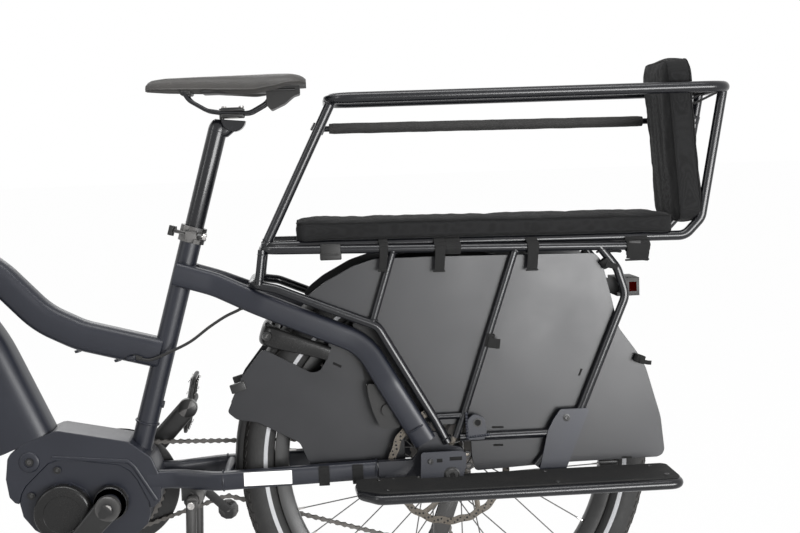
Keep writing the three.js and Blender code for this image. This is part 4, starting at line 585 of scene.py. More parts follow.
seatTubeSize = {"radius": 17.45, "tilt": 16.2, "topX": -406, "topZ": 720, "footZ": 372, "bore": 15.75}


def onSeat(z, rearwards=0):
    # A place on the seat tube's axis, or behind it
    tilt = radians(seatTubeSize["tilt"])
    x = seatTubeSize["topX"] + (z - seatTubeSize["topZ"]) * tan(tilt)
    return at(x, 0, z) + Vector((cos(tilt) * mm(rearwards), 0, -sin(tilt) * mm(rearwards)))


seatTilt = radians(seatTubeSize["tilt"])
headAngle = radians(69.5)
seatAxis = Vector((sin(seatTilt), 0, cos(seatTilt)))
seatRearwards = seatAxis.cross(across) * -1
steerAxis = Vector((cos(headAngle), 0, sin(headAngle)))
steerFoot = Vector(((-1197.85 + axleShift) / 1000, 0, 0.32624))


def onSteer(distance):
    # A place on the steering axis
    return steerFoot + steerAxis * mm(distance)


def makeSeatTube():
    size = seatTubeSize
    bm = bmesh.new()
    foot, top = onSeat(size["footZ"]), onSeat(745)
    length = (top - foot).length * 1000
    r, bore = size["radius"], size["bore"]
    turned(bm, [(bore, 2), (r, 2), (r + 0.2, 60), (r, 120), (r, length - 0.5), (r - 0.5, length), (bore, length),
                (bore, length - 40)], foot, seatAxis, 40)
    turned(bm, [(0.01, 0), (6.2, 0), (6, 3.6), (3, 4), (2.8, 2.4), (0.01, 2.4)], onSeat(459, r - 1), seatRearwards, 24)
    newPiece("seatTube", bm, "frame", "frame", ("seat_tube",))
    bm = bmesh.new()
    for z in (548, 528):
        capScrew(bm, onSeat(z, -r + 0.6), seatAxis.cross(across), 4.2, 3.4)
    newPiece("seatTubeScrews", bm, "black", "frame")
    bm = bmesh.new()
    headBore, head = 17, 22.6
    turned(bm, [(headBore, 0), (head + 0.8, 0), (head + 1.2, 3), (head, 9), (head - 1.2, 30), (head - 1.2, 90),
                (head, 111), (head + 1.2, 117), (head + 0.8, 120), (headBore, 120)], onSteer(443), steerAxis, 44, True)
    newPiece("headTube", bm, "frame", "frame", ("head_tube",))


# The stays have a box section: 24 wide and 38 deep above, 22 wide and 30 deep below; routes are (x, z, y)
stays = {
    "stay": {"route": [(-431, 672, 29), (-366, 651, 29), (-300, 621, 52), (-132, 548, 58), (-95, 483, 74),
                       (-40, 387, 74)],
             "width": 12, "depth": 19, "power": 3.4, "bend": 90},
    "chainstay": {"route": [(-492, 337, 30), (-445, 336, 30), (-378, 335, 58), (-117, 341, 58)],
                  "width": 11, "depth": 15, "power": 3.4, "bend": 60},
}


def makeStays():
    for name, sign in sides.items():
        for kind, size in stays.items():
            bm = bmesh.new()
            route = bend([at(x, sign * y, z) for x, z, y in size["route"]], size["bend"], 10)
            sweep(bm, route, size["width"], size["depth"], size["power"], 36)
            if kind == "chainstay" and sign < 0:
                # The bridge between the chainstays
                sweep(bm, [at(-360, -52, 341), at(-360, 46, 341)], 8, count=24)
            newPiece(kind + name, bm, "frame", "frame", (kind + "_" + nodeSide[name],))


# Each weld: x, y, z, the joint's heading, radius, thickness of the bead, seed, squash, way of the wider side
frameWelds = (
    (-404, 16, 664, (0.75, 0.62, -0.2), 16.5, 1.7, 2, 1.05, None),
    (-367, 56, 335, (1, 0, 0.01), 13.6, 1.6, 5, 1.2, across),
    (-119, 58.5, 341.5, (1, 0, 0.02), 13.2, 1.7, 7, 1.14, across),
    (-54, 74, 411, (0.5, 0, -0.87), 15, 1.7, 9, 1.1, across),
)


def layWelds(bm, welds):
    for sign in sides.values():
        for x, y, z, (u, v, w), radius, thickness, seed, squash, side in welds:
            weldBead(bm, at(x, sign * y, z), Vector((u, sign * v, w)), radius, thickness, seed + sign, squash, side)


def makeFrameWelds():
    bm = bmesh.new()
    layWelds(bm, frameWelds)
    weldBead(bm, onSeat(426), seatAxis, 18.3, 2, 12)
    newPiece("frameWelds", bm, "frame", "frame")


def makeDropoutFittings():
    for name, sign in sides.items():
        out = outward(sign)
        face = max(abs(c.y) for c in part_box("dropout_" + nodeSide[name])) * 1000
        plateFace = face + 2.4
        bm = bmesh.new()
        plateOutline(bm, [(-52, 334), (-40, 327), (12, 327), (19, 345), (22, 358), (22, 374), (14, 378), (-50, 378)],
                     sign * (face + 1) - 1.4, 2.8, 4)
        newPiece("dropoutPlate" + name, bm, "frame", "frame")
        bm = bmesh.new()
        capScrew(bm, at(-35.5, sign * plateFace, 363.4), out, 4.4, 3)
        capScrew(bm, at(-55, sign * face, 337), out, 3.2, 2)
        capScrew(bm, at(-95, sign * (face - 4), 334), out, 3.6, 2)
        turned(bm, [(0.01, 0.6), (4.6, 0.8), (5, 3), (9.4, 3), (10.8, 1.6), (12.6, 1), (13.4, -1)],
               at(-2, sign * plateFace, 340), out, 40)
        turned(bm, [(3, 0), (5.8, 0), (6.4, 1.4), (5.6, 3), (3, 3)], at(26, sign * (face - 2), 352), out, 28, True)
        turned(bm, [(3, 0), (5.4, 0), (6, 1.4), (5.2, 3), (3, 3)], at(24, sign * (face - 2), 371), out, 28, True)
        newPiece("dropoutBolts" + name, bm, "black", "frame")
        # Dark patches on the plate where its slots and axle hole are: painted shade, not openings
        bm = bmesh.new()
        for x, z, wide in ((-21, 364, 9), (5, 366, 20), (-2, 324.5, 18)):
            roundedBox(bm, at(x, sign * plateFace, z), (wide, 0.5, 6), 2.4)
        turned(bm, [(0.01, 0.2), (3.6, 0.2), (3.6, 1.2), (0.01, 1.2)], at(-2, sign * plateFace, 340), out, 6)
        newPiece("dropoutSlotShade" + name, bm, "shade", "frame")


def makeCaliper():
    # Brake caliper between the stays, seen as a dark block through the guard's opening
    bm = bmesh.new()
    plateOutline(bm, [(-130, 484), (-112, 482), (-80, 458), (-78, 409), (-110, 409), (-122, 438), (-128, 462)],
                 -66, 20, 5)
    roundedBox(bm, at(-96, -50, 432), (26, 26, 40), 4, Matrix.Rotation(radians(-24), 3, "Y"))
    turned(bm, [(0.01, 0), (9, 0), (10, -1), (10, -6), (0.01, -6)], at(-98, -65, 440), across, 28)
    newPiece("rearCaliper", bm, "plastic", "frame")
    # A dark sheet inside the guard's opening: painted shade standing in for the shaded far side seen between the stays
    bm = bmesh.new()
    plateOutline(bm, [(-149, 582), (-117, 574), (-85, 556), (-24, 427), (-40, 392), (-69, 396), (-130, 481)],
                 -42, 2.4, 5)
    newPiece("shadeSheetBehindStays", bm, "plastic", "frame")


def makeMotorDetails():
    out = outward(-1)
    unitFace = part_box("motor_unit")[0].y * 1000
    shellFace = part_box("motor_shell")[0].y * 1000
    bm = bmesh.new()
    turned(bm, [(0.01, 3.6), (30, 3.6), (31, 4.4), (40, 4.4), (43.6, 3.6), (45.8, 1.6), (46.6, -1), (46.6, -12)],
           at(-625, unitFace, 294), out, 72)
    turned(bm, [(17, 0), (26, 0), (28, -1.6), (28.6, -4), (28.6, -12)],
           at(crankAxle[0], unitFace, crankAxle[1]), out, 56)
    newPiece("motorCover", bm, "gloss", "frame")
    bm = bmesh.new()
    turned(bm, [(8, 0.6), (8.4, 2.2), (14.6, 2.6), (16.4, 1.4), (17, -1), (8, -1)],
           at(-677, shellFace, 377.6), out, 48, True)
    route = bend([at(x, shellFace - 0.4, z) for x, z in ((-641, 383), (-520, 371), (-511, 362), (-478, 305))], 14, 6)
    sweep(bm, route, 3.4, 1.8, 2.4, 16, side=Vector((0.3, 0, 1)).normalized())
    newPiece("shellRelief", bm, "frame", "frame", (), 60)
    bm = bmesh.new()
    capScrew(bm, at(-677, shellFace, 377.6), out, 6.6, 1)
    for x, z in ((-633.5, 362), (-677, 322)):
        capScrew(bm, at(x, shellFace - 0.2, z), out, 4.6, 1.8, washer=6)
    newPiece("shellBolts", bm, "black", "frame")


makeMainTubes()
makeSeatTube()
makeStays()
makeFrameWelds()
refined("dropoutLeft", "dropout_left", "plate", "frame", 0.7)
refined("dropoutRight", "dropout_right", "plate", "frame", 0.7)
makeDropoutFittings()
makeCaliper()
refined("motorShell", "motor_shell", "frame", "frame", 9, 6, 20, smooth=60)
makeMotorDetails()
refined("motorUnit", "motor_unit", "frame", "frame", 3, 4, 24, smooth=60)
print("frame made")


# Rack, brace and bench rails
rack = {"radius": 7, "halfWidth": 78, "frontX": -287, "rearX": 336, "frontZ": 707, "rearZ": 690, "bend": 32}
cage = {"railRadius": 8.9, "railZ": 941, "frontX": -173, "rearX": 470, "halfWidth": 82, "bend": 45,
        "tubeRadius": 7.9, "tubeY": 61, "tubeBend": 26}


def rackZ(x):
    share = (x - rack["frontX"]) / (rack["rearX"] - rack["frontX"])
    return lerp(rack["frontZ"], rack["rearZ"], share)


def loopRoute(frontX, rearX, heightAt, halfWidth, radius):
    # A closed rectangle lying along the bike, its corners rounded
    corners = [(frontX, -halfWidth), (rearX, -halfWidth), (rearX, halfWidth), (frontX, halfWidth)]
    return bend([at(x, y, heightAt(x)) for x, y in corners], radius, 12, True)


def makeRack():
    bm = bmesh.new()
    route = loopRoute(rack["frontX"], rack["rearX"], rackZ, rack["halfWidth"], rack["bend"])
    sweep(bm, route, rack["radius"], count=24, closed=True)
    newPiece("rackLoop", bm, "tube", "frame", ("rack_loop",))
    bm = bmesh.new()
    side = [(-268, 645), (-181, 608), (-110, 579), (-23, 423), (-4, 384)]
    halfWidth = rack["halfWidth"]
    path = [at(x, -halfWidth, z) for x, z in reversed(side)] + [at(-306, -halfWidth + 14, 652)]
    path += [at(-306, halfWidth - 14, 652)] + [at(x, halfWidth, z) for x, z in side]
    sweep(bm, bend(path, 30, 9), 7.4, count=24)
    newPiece("braceLoop", bm, "tube", "frame", ("brace_loop",))
    for name, sign in sides.items():
        y = sign * halfWidth
        bm = bmesh.new()
        tube(bm, [at(-80, y, rackZ(-80)), at(-118, y, 584)], 6)
        newPiece("strutFront" + name, bm, "tube", "frame", ("strut_front_" + nodeSide[name],))
        bm = bmesh.new()
        tube(bm, [at(116, y, rackZ(116)), at(24, y, 429), at(10, y, 392)], 6, 20)
        tube(bm, [at(-28, y, 427), at(24, y, 427)], 5)
        newPiece("strutMid" + name, bm, "tube", "frame", ("strut_mid_" + nodeSide[name],))
        bm = bmesh.new()
        tube(bm, [at(x, y, z) for x, z in ((252, 692), (280, 656), (294, 612), (216, 429), (141, 338))], 7, 34, 24)
        tube(bm, [at(17, y, 391), at(188, y, 391)], 6.8, count=24)
        newPiece("rackLegTube" + name, bm, "tube", "frame", ("rack_leg_" + nodeSide[name],))
        bm = bmesh.new()
        tube(bm, [at(-288, sign * 70, rackZ(-288)), at(-296, sign * 70, 652)], 6.5)
        newPiece("strutCorner" + name, bm, "tube", "frame")


legPlate = {"y": 86, "thickness": 4,
            "points": [(143, 331), (187, 331), (227, 427), (225, 431), (180, 431), (168, 414), (159, 397), (147, 345)],
            "eye": [(28, 388), (56, 388), (60, 402), (56, 424), (40, 431), (30, 424), (26, 404)]}


def makeLegPlates():
    for name, sign in sides.items():
        bm = bmesh.new()
        near = sign * legPlate["y"] - legPlate["thickness"] / 2
        face = sign * (legPlate["y"] + legPlate["thickness"] / 2)
        plateOutline(bm, legPlate["points"], near, legPlate["thickness"], 5)
        roundedBox(bm, at(163, sign * 104, 331), (45, 36, 3.4), 1)
        newPiece("rackLegPlate" + name, bm, "frame", "frame")
        bm = bmesh.new()
        plateOutline(bm, legPlate["eye"], near, legPlate["thickness"], 4)
        softened(bm, [e for e in bm.edges if e.calc_face_angle(0) > 1], 0.5, 2)
        # Weld drops along the plate's front and lower edges
        for a, b in (((27, 431), (28, 392)), ((30, 393.5), (62, 395.5))):
            for k in range(9):
                x, z = lerp(a[0], b[0], k / 8), lerp(a[1], b[1], k / 8)
                turned(bm, [(0.01, 1.6), (1.6, 1.2), (2.6, 0), (0.01, 0)], at(x, sign * 87.8, z), outward(sign), 12)
        newPiece("eyePlate" + name, bm, "frame", "frame")
        bm = bmesh.new()
        out = outward(sign)
        turned(bm, [(5.2, 0), (7.2, 0), (7.2, 0.8), (5.2, 0.8)], at(45, face, 416), out, 28, True)
        capScrew(bm, at(190, face, 417), out, 4, 2.2, washer=6)
        newPiece("legPlateScrews" + name, bm, "black", "frame")
        bm = bmesh.new()
        turned(bm, [(0.01, 0), (5, 0), (5, 0.4), (0.01, 0.5)], at(45, face, 416), out, 24)
        newPiece("eyeHoleShade" + name, bm, "shade", "frame")


# As frameWelds
rackWelds = (
    (-278.5, 61, 719.5, (0.45, 0, 0.89), 8.2, 1.4, 19, 1, None),
    (-173, 63, 934, (0.45, 0, 0.89), 8.4, 1.1, 21, 1, None),
    (-81.5, 78, rackZ(-80) - 6.4, (0.2, 0, 1), 6.6, 1.1, -80, 1, None),
    (116, 78, rackZ(116) - 6.4, (0.2, 0, 1), 6.6, 1.1, 116, 1, None),
    (-115.6, 78, 590, (0.34, 0, 0.94), 6.6, 1.1, 31, 1, None),
    (-288, 70, 699.5, (0.1, 0, 1), 7, 1.1, 33, 1, None),
    (-296, 70, 658.5, (0.1, 0, 1), 7, 1.1, 35, 1, None),
    (-6, 78, 392, (0.45, 0, -0.9), 8.2, 1.2, 37, 1, None),
    (18, 78, 424, (1, 0, 0), 5.6, 1.1, 39, 1, None),
    (-24.5, 78, 427, (1, 0, 0), 5.8, 1.1, 41, 1, None),
    (188, 78, 391, (1, 0, 0), 7.4, 1.1, 43, 1, None),
    (254, 78, 686, (0.5, 0, -0.85), 7.8, 1.1, 45, 1, None),
)


def makeCage():
    bm = bmesh.new()
    route = loopRoute(cage["frontX"], cage["rearX"], lambda x: cage["railZ"], cage["halfWidth"], cage["bend"])
    sweep(bm, route, cage["railRadius"], count=28, closed=True)
    newPiece("cageRail", bm, "tube", "frame", ("cage_rail",))
    for name, sign in sides.items():
        bm = bmesh.new()
        path = [(-289, 712.4), (398, 703), (425, 731), (463, 934)]
        tube(bm, [at(x, sign * cage["tubeY"], z) for x, z in path], cage["tubeRadius"], cage["tubeBend"], 24)
        tube(bm, [at(x, sign * cage["tubeY"], z) for x, z in ((-170, 936), (-282, 714))], cage["tubeRadius"], 0, 24)
        newPiece("cageSide" + name, bm, "tube", "frame", ("cage_side_" + nodeSide[name],))
    bm = bmesh.new()
    layWelds(bm, rackWelds)
    newPiece("rackWelds", bm, "tube", "frame")


makeRack()
makeLegPlates()
makeCage()
print("rack and bench rails made")


# Wheel guards, footboards, lock, lamp and hose
# A guard's outline is given in shares of its box, a slot as x, z, width, height and turn in degrees; a slot is drawn as
# a dark patch of painted shade
guards = {
    "thickness": 3,
    "inner": {"y": 34.3, "x": (-357, -70), "z": (345, 562), "corner": 7, "shares": [
        (0.21, 0.91), (0.24, 0.9), (0.415, 0.77), (0.48, 0.72), (0.53, 0.73), (0.57, 0.81), (0.59, 0.97), (0.72, 1),
        (0.83, 0.86), (0.85, 0.74), (0.79, 0.61), (0.84, 0.36), (0.93, 0.31), (1, 0.39), (1, 0), (0.46, 0),
        (0.4, 0.19), (0.17, 0.36), (0.05, 0.39), (0, 0.45), (0.09, 0.71)]},
    "outer": {"y": 67.2, "x": (-228, 356), "z": (333, 686), "corner": 8, "shares": [
        (0.02, 0.85), (0.06, 0.9), (0.14, 0.97), (0.2, 1), (0.355, 1), (0.81, 0.986), (0.83, 0.95), (0.85, 0.82),
        (0.875, 0.635), (0.925, 0.52), (0.95, 0.445), (0.99, 0.21), (1, 0.045), (0.985, 0.02), (0.71, 0.017),
        (0.46, 0), (0.452, 0.07), (0.45, 0.22), (0.363, 0.224), (0.27, 0.487), (0.2, 0.67), (0, 0.81)]},
    "outerSlots": [(80, 403, 19, 3.6, 2), (80, 373.5, 16, 3.6, 2), (292, 342, 17, 3, 3), (238, 470, 3.4, 15, 24),
                   (218, 487, 3.4, 12, 24)],
    "innerSlots": [(-176, 512, 15, 4, 27), (-127, 487, 7, 7, 0)],
}


def makeGuards():
    for name, sign in sides.items():
        for which, node in (("inner", "guard_front_"), ("outer", "guard_rear_")):
            size = guards[which]
            (x0, x1), (z0, z1) = size["x"], size["z"]
            points = [(lerp(x0, x1, a), lerp(z0, z1, b)) for a, b in size["shares"]]
            bm = bmesh.new()
            near = size["y"] if sign > 0 else -size["y"] - guards["thickness"]
            plateOutline(bm, points, near, guards["thickness"], size["corner"], segments=4)
            softened(bm, rimEdges(bm, 1), 0.6, 2)
            newPiece(which + "Guard" + name, bm, "sheet", "frame", (node + nodeSide[name],), 32)
        # The slots are dark patches on the sheets: painted shade where the openings would be
        bm = bmesh.new()
        for which in ("inner", "outer"):
            face = sign * (guards[which]["y"] + guards["thickness"])
            for x, z, wide, high, turn in guards[which + "Slots"]:
                spin = Matrix.Rotation(radians(turn), 3, "Y")
                roundedBox(bm, at(x, face, z), (wide, 0.5, high), 1.6, spin)
        newPiece("guardSlotShade" + name, bm, "shade", "frame")
        bm = bmesh.new()
        out = outward(sign)
        capScrew(bm, at(-92, sign * 37.3, 372), out, 4, 2.6, washer=7)
        roundedBox(bm, at(261, sign * 69, 333.6), (30, 7, 9), 1.4)
        roundedBox(bm, at(-338, sign * 38.4, 483), (25, 6, 15), 1.6, Matrix.Rotation(radians(-16), 3, "Y"))
        newPiece("guardScrews" + name, bm, "black", "frame")


board = {"z": 337, "thickness": 4, "inner": 95, "outer": 190, "front": -160, "outerFront": -125, "rear": 350,
         "tube": 8, "tubeZ": 327}


def makeFootboards():
    for name, sign in sides.items():
        size = board
        bm = bmesh.new()
        inner, outer, rear, inset = size["inner"] + 3, size["outer"] - 3, size["rear"] - 2, 5
        corners = [(size["front"] + inset, inner), (rear, inner), (rear, outer), (size["outerFront"] + inset, outer),
                   (size["front"] + inset, size["outer"] - 34)]
        verts = [bm.verts.new(at(x, sign * y, size["z"] - size["thickness"])) for x, y in corners]
        bm.faces.new(verts)
        softened(bm, verts, 12, 5, "VERTICES")
        thickened(bm, bm.faces[:][0], upwards * mm(size["thickness"]))
        outwardFaces(bm)
        softened(bm, rimEdges(bm, 2), 0.8, 2)
        newPiece("footboard" + name, bm, "board", "frame", ("footboard_" + nodeSide[name],), 50)
        bm = bmesh.new()
        path = [(-150, 99), (size["rear"] - 4, 99), (size["rear"] - 4, 189), (-121, 189), (-147, 158)]
        route = bend([at(x, sign * y, size["tubeZ"] - 0.4) for x, y in path], 18, 8, True)
        sweep(bm, route, size["tube"], count=20, closed=True)
        for x in (-40, 163):
            # The two cross tubes that carry the board
            tube(bm, [at(x, sign * 100, 329.6), at(x, sign * 188, 329.6)], 5)
        newPiece("footboardTube" + name, bm, "tube", "frame")
        bm = bmesh.new()
        for x, y in ((-118, 112), (-108, 172), (148, 112), (156, 178), (318, 112), (330, 168)):
            capScrew(bm, at(x, sign * y, size["z"] - 0.2), upwards, 4.2, 1.2)
        newPiece("footboardScrews" + name, bm, "black", "frame")


lock = {"slope": 18.5, "front": (-304, 572), "halfWidth": 45.5, "length": 122}


def onLock(along, y, rise=0):
    # A place counted from the lock's front, along its slope and square to it
    slope = radians(-lock["slope"])
    x, z = lock["front"]
    return at(x + along * cos(slope) - rise * sin(slope), y, z + along * sin(slope) + rise * cos(slope))


def makeLock():
    bm = bmesh.new()
    arm = [(lock["length"], -1), (90, 0), (14, 0)]
    route = [onLock(a, -lock["halfWidth"], r) for a, r in arm]
    route += [onLock(a, lock["halfWidth"], r) for a, r in reversed(arm)]
    ways = bend(route, 26, 9)
    # The horseshoe grows thicker from its two ends to its front
    sizes = [0.8 + 0.5 * min(1, max(0, onLock(lock["length"], 0).x - point.x) / mm(105)) for point in ways]
    sweep(bm, ways, 14, 6.6, 2.8, 32, side=(onLock(0, 0, 10) - onLock(0, 0)).normalized(), sizes=sizes)
    newPiece("frameLock", bm, "gloss", "frame", ("lock_body",), 60)
    out = outward(-1)
    bm = bmesh.new()
    middle = onLock(17, -51.6)
    turned(bm, [(0.01, 0.2), (5, 0.3), (5.4, 1.4), (6.6, 1.6), (7.4, 1), (8, -1)], middle, out, 30)
    roundedBox(bm, middle + out * mm(0.4), (1.3, 0.8, 5), 0.3)
    newPiece("lockRing", bm, "black", "frame")
    bm = bmesh.new()
    for along in (30, 104):
        roundedBox(bm, onLock(along, -40, 19), (9, 8, 12), 1, Matrix.Rotation(radians(lock["slope"]), 3, "Y"))
    newPiece("lockLugs", bm, "black", "frame")


def makeLamp():
    refined("lampCase", "rear_lamp", "plastic", "frame", 1.6, 3, 24, smooth=50)
    bm = bmesh.new()
    roundedBox(bm, at(327.4, 0, 619), (4.4, 54, 22), 1.8)
    newPiece("lampLens", bm, "lens", "frame")
    bm = bmesh.new()
    for y in (-27.6, 27.6):
        roundedBox(bm, at(318, y, 619), (16, 6.8, 19), 1.6)
    newPiece("lampSideLens", bm, "lens", "frame")
    bm = bmesh.new()
    for sign in sides.values():
        capScrew(bm, at(297.4, sign * 66, 619), backwards, 3.6, 2.6)
    newPiece("lampScrews", bm, "steel", "frame")


hose = {"radius": 2.4, "route": [(-499, -25, 537), (-477, -27, 533), (-443, -31, 546), (-411, -34, 561),
                                 (-379, -38, 584), (-353, -41, 600), (-333, -43, 609), (-322, -44, 615)]}


def smoothRoute(points, steps):
    # A curve that passes through every point
    route = []
    for i in range(len(points) - 1):
        a, b = points[max(i - 1, 0)], points[i]
        c, d = points[i + 1], points[min(i + 2, len(points) - 1)]
        for k in range(steps):
            t = k / steps
            flat, curved = 2 * a - 5 * b + 4 * c - d, 3 * b - a - 3 * c + d
            route.append(0.5 * (2 * b + (c - a) * t + flat * t * t + curved * t ** 3))
    return route + [points[-1]]


def makeHose():
    bm = bmesh.new()
    sweep(bm, smoothRoute([at(*p) for p in hose["route"]], 8), hose["radius"], count=16)
    newPiece("rearBrakeHose", bm, "hose", "frame", ("brake_hose_rear",))
    bm = bmesh.new()
    first, second = [at(*p) for p in hose["route"][:2]]
    way = (second - first).normalized()
    turned(bm, [(2.3, -6), (4.6, -6), (4.6, 0), (4.1, 1.4), (3.2, 8), (2.3, 9)], first, way, 24)
    last, before = at(*hose["route"][-1]), at(*hose["route"][-2])
    turned(bm, [(2.3, -2), (4.4, -2), (4.4, 1), (3.2, 6), (2.3, 7)], last, (before - last).normalized(), 24)
    newPiece("hoseGrommets", bm, "grip", "frame")


makeGuards()
makeFootboards()
makeLock()
makeLamp()
makeHose()
print("guards, footboards, lock, lamp and hose made")


# Wheels: widths of hub and axle, then places along the axle of the disc and the two spoke flanges
wheels = {
    "rear": {"x": 0, "body": "rear_wheel_set", "hub": 135, "axle": 158, "disc": -58, "flanges": (-34, 16),
             "barrel": 15, "tyre": "rearTyre", "steel": "rearDisc"},
    "front": {"x": -wheelbase, "body": "front_wheel_set", "hub": 110, "axle": 132, "disc": -46, "flanges": (-30, 36),
              "barrel": 14, "tyre": "frontTyre", "steel": "frontDisc"},
}


def onWheel(wheel, radius, angle, y):
    # A place round a wheel, its angle counted from the top towards the rear
    return at(wheel["x"] + radius * sin(angle), y, tyreRadius + radius * cos(angle))


def hubOf(wheel):
    return at(wheel["x"], 0, tyreRadius)


# Each row of tread blocks: y, radius, width, turn in degrees
treadRows = ((0, 341.3, 9, 24), (9.5, 339.4, 7, -30), (-9.5, 339.4, 7, -30), (17.5, 334.4, 6.5, 16),
             (-17.5, 334.4, 6.5, 16))


def makeTyre(label, wheel):
    bm = bmesh.new()
    profile = [(286.2, -11), (288, -15.2), (291, -19), (297, -24), (306, -27.6), (314, -28.2), (322, -26.6),
               (330, -21.5), (336.4, -14.5), (340.2, -7.5), (341.4, 0)]
    profile = profile + [(r, -y) for r, y in reversed(profile[:-1])]
    turned(bm, profile, hubOf(wheel), across, 128)
    newPiece(label + "Tyre", bm, wheel["tyre"], wheel["body"], (label + "_tyre",), 60)
    bm = bmesh.new()
    count = 118
    for i in range(count):
        angle = 2 * pi * i / count
        for y, radius, wide, turn in treadRows:
            # The rows beside the middle one stand half a step on
            place = onWheel(wheel, radius, angle + (0.5 if 5 < abs(y) < 12 else 0) * 2 * pi / count, y)
            lean = asin(y / 30) * 1.15
            twist = radians(turn) * (1 if y >= 0 else -1)
            spin = Matrix.Rotation(angle, 3, "Y") @ Matrix.Rotation(-lean, 3, "X") @ Matrix.Rotation(twist, 3, "Z")
            made = bmesh.ops.create_cube(bm, size=1)["verts"]
            bmesh.ops.scale(bm, vec=Vector((mm(11), mm(wide), mm(1.3))), verts=made)
            bmesh.ops.transform(bm, matrix=Matrix.Translation(place) @ spin.to_4x4(), verts=made)
    newPiece(label + "Tread", bm, wheel["tyre"], wheel["body"], (), 20)


def makeRim(label, wheel):
    bm = bmesh.new()
    middle = hubOf(wheel)
    section = [(262, -7), (263, -9.5), (274, -15.4), (284.5, -16), (285.6, -15), (285.6, -13), (281, -12.2), (279, 0),
               (281, 12.2), (285.6, 13), (285.6, 15), (284.5, 16), (274, 15.4), (263, 9.5), (262, 7), (261.5, 0)]
    turned(bm, section, middle, across, 128, True)
    outwardFaces(bm)
    turned(bm, [(14, 0), (17, 0), (19, 1)], middle, across, 3)
    half, tip, barrel = wheel["hub"] / 2, wheel["axle"] / 2 - 2, wheel["barrel"]
    a, b = wheel["flanges"]
    d = wheel["disc"]
    profile = [(0.01, -tip), (5, -tip), (6, -tip + 1.4), (6, -half), (11, -half), (14, -half + 3), (16.8, -half + 4),
               (16.8, d + 1.5), (24, d + 1.8), (24, d + 8), (17, d + 10), (17, a - 9), (20, a - 5), (30, a - 2),
               (30, a + 2), (22, a + 4), (barrel, a + 12), (barrel - 1, (a + b) / 2), (barrel, b - 12), (22, b - 4),
               (30, b - 2), (30, b + 2)]
    if label == "rear":
        profile += [(20, b + 4.4), (16.8, b + 4.6), (16.8, half - 4)]
    else:
        profile += [(20, b + 5), (15, b + 8), (15, half - 4)]
    profile += [(11, half - 1), (11, half), (6, half), (6, tip - 1.4), (5, tip), (0.01, tip)]
    turned(bm, profile, middle, across, 40)
    newPiece(label + "RimAndHub", bm, "black", wheel["body"], (label + "_wheel",))


def makeSpokes(label, wheel):
    bm = bmesh.new()
    ends = bmesh.new()
    count = 32
    for i in range(count):
        # Spokes go to the two flanges in turn, every second pair leaning the other way
        flange = wheel["flanges"][i % 2]
        lead = 1 if i // 2 % 2 else -1
        rimAngle = 2 * pi * (i + 0.5) / count
        hubAngle = rimAngle - lead * radians(67.5)
        root = onWheel(wheel, 27.5, hubAngle, flange + lead * 2.4)
        tip = onWheel(wheel, 262.5, rimAngle, 3 * (1 if flange > 0 else -1))
        sweep(bm, [root, lerp(root, tip, 0.5), tip], 1.05, count=6, caps=False)
        way = (root - tip).normalized()
        turned(ends, [(0.01, 0), (2.2, 0), (2.2, 3), (1.7, 5), (1.7, 12), (1.1, 12.6)], tip, way, 8)
    newPiece(label + "Spokes", bm, "spoke", wheel["body"])
    newPiece(label + "Nipples", ends, "steel", wheel["body"])


def makeValve(label, wheel):
    bm = bmesh.new()
    angle = atan2(-205, -275) if label == "rear" else atan2(-60, -290)
    root = onWheel(wheel, 262, angle, 0)
    turned(bm, [(0.01, -1), (5.2, -1), (5.2, 2), (3.1, 2.4), (3, 26), (2, 27), (2, 33), (3, 34), (3, 38), (0.01, 39)],
           root, hubOf(wheel) - root, 20)
    newPiece(label + "Valve", bm, "steel", wheel["body"])


def makeDisc(label, wheel):
    # Wavy brake band on six swept arms; its drill holes are dark discs of painted shade on both faces
    y = wheel["disc"]
    middle = hubOf(wheel)
    bm = bmesh.new()
    count = 144
    loops = []
    for face in (-0.9, 0.9):
        for base in (87.5, 99.2):
            made = bmesh.ops.create_circle(bm, segments=count, radius=1)["verts"]
            for i, v in enumerate(made):
                angle = 2 * pi * i / count
                reach = base + (1.1 if base > 90 else 1.3) * cos(angle * 18)
                v.co = onWheel(wheel, reach, angle, y + face)
            loops.append(made)
    for a, b in ((0, 1), (1, 3), (3, 2), (2, 0)):
        joinRings(bm, loops[a], loops[b])
    for i in range(6):
        start = 2 * pi * i / 6
        path = [onWheel(wheel, lerp(24, 90, k / 8), start + radians(30) * (k / 8) ** 0.8, y) for k in range(9)]
        sweep(bm, path, 4.4, 0.85, 5, 12, side=backwards)
    turned(bm, [(18, -1), (30, -1), (30, 1), (18, 1)], middle + Vector((0, mm(y), 0)), across, 48, True)
    outwardFaces(bm)
    stands = ("rear_rotor",) if label == "rear" else ()
    newPiece(label + "Disc", bm, wheel["steel"], wheel["body"], stands)
    # Dark glossy discs where the drill holes are: painted shade, not openings
    bm = bmesh.new()
    for i in range(36):
        for row, (radius, wide) in enumerate(((90.6, 1.7), (93.6, 1.9), (96.4, 1.5))):
            angle = 2 * pi * (i + row * 0.33) / 36
            for face in (-0.95, 0.95):
                turned(bm, [(0.01, 0), (wide, 0), (wide, 0.12), (0.01, 0.14)], onWheel(wheel, radius, angle, y + face),
                       across * copysign(1, face), 8)
    newPiece(label + "DiscHoleShade", bm, "gloss", wheel["body"])
    bm = bmesh.new()
    for i in range(6):
        capScrew(bm, onWheel(wheel, 25.5, 2 * pi * i / 6 + 0.3, y - 1), outward(-1), 3.4, 2.6)
    turned(bm, [(6.5, 0), (16, 0), (16.5, 2), (13, 3.4), (7, 3.6), (6.5, 3)], middle + Vector((0, mm(y - 1), 0)),
           outward(-1), 32, True)
    newPiece(label + "DiscScrews", bm, "steel", wheel["body"])


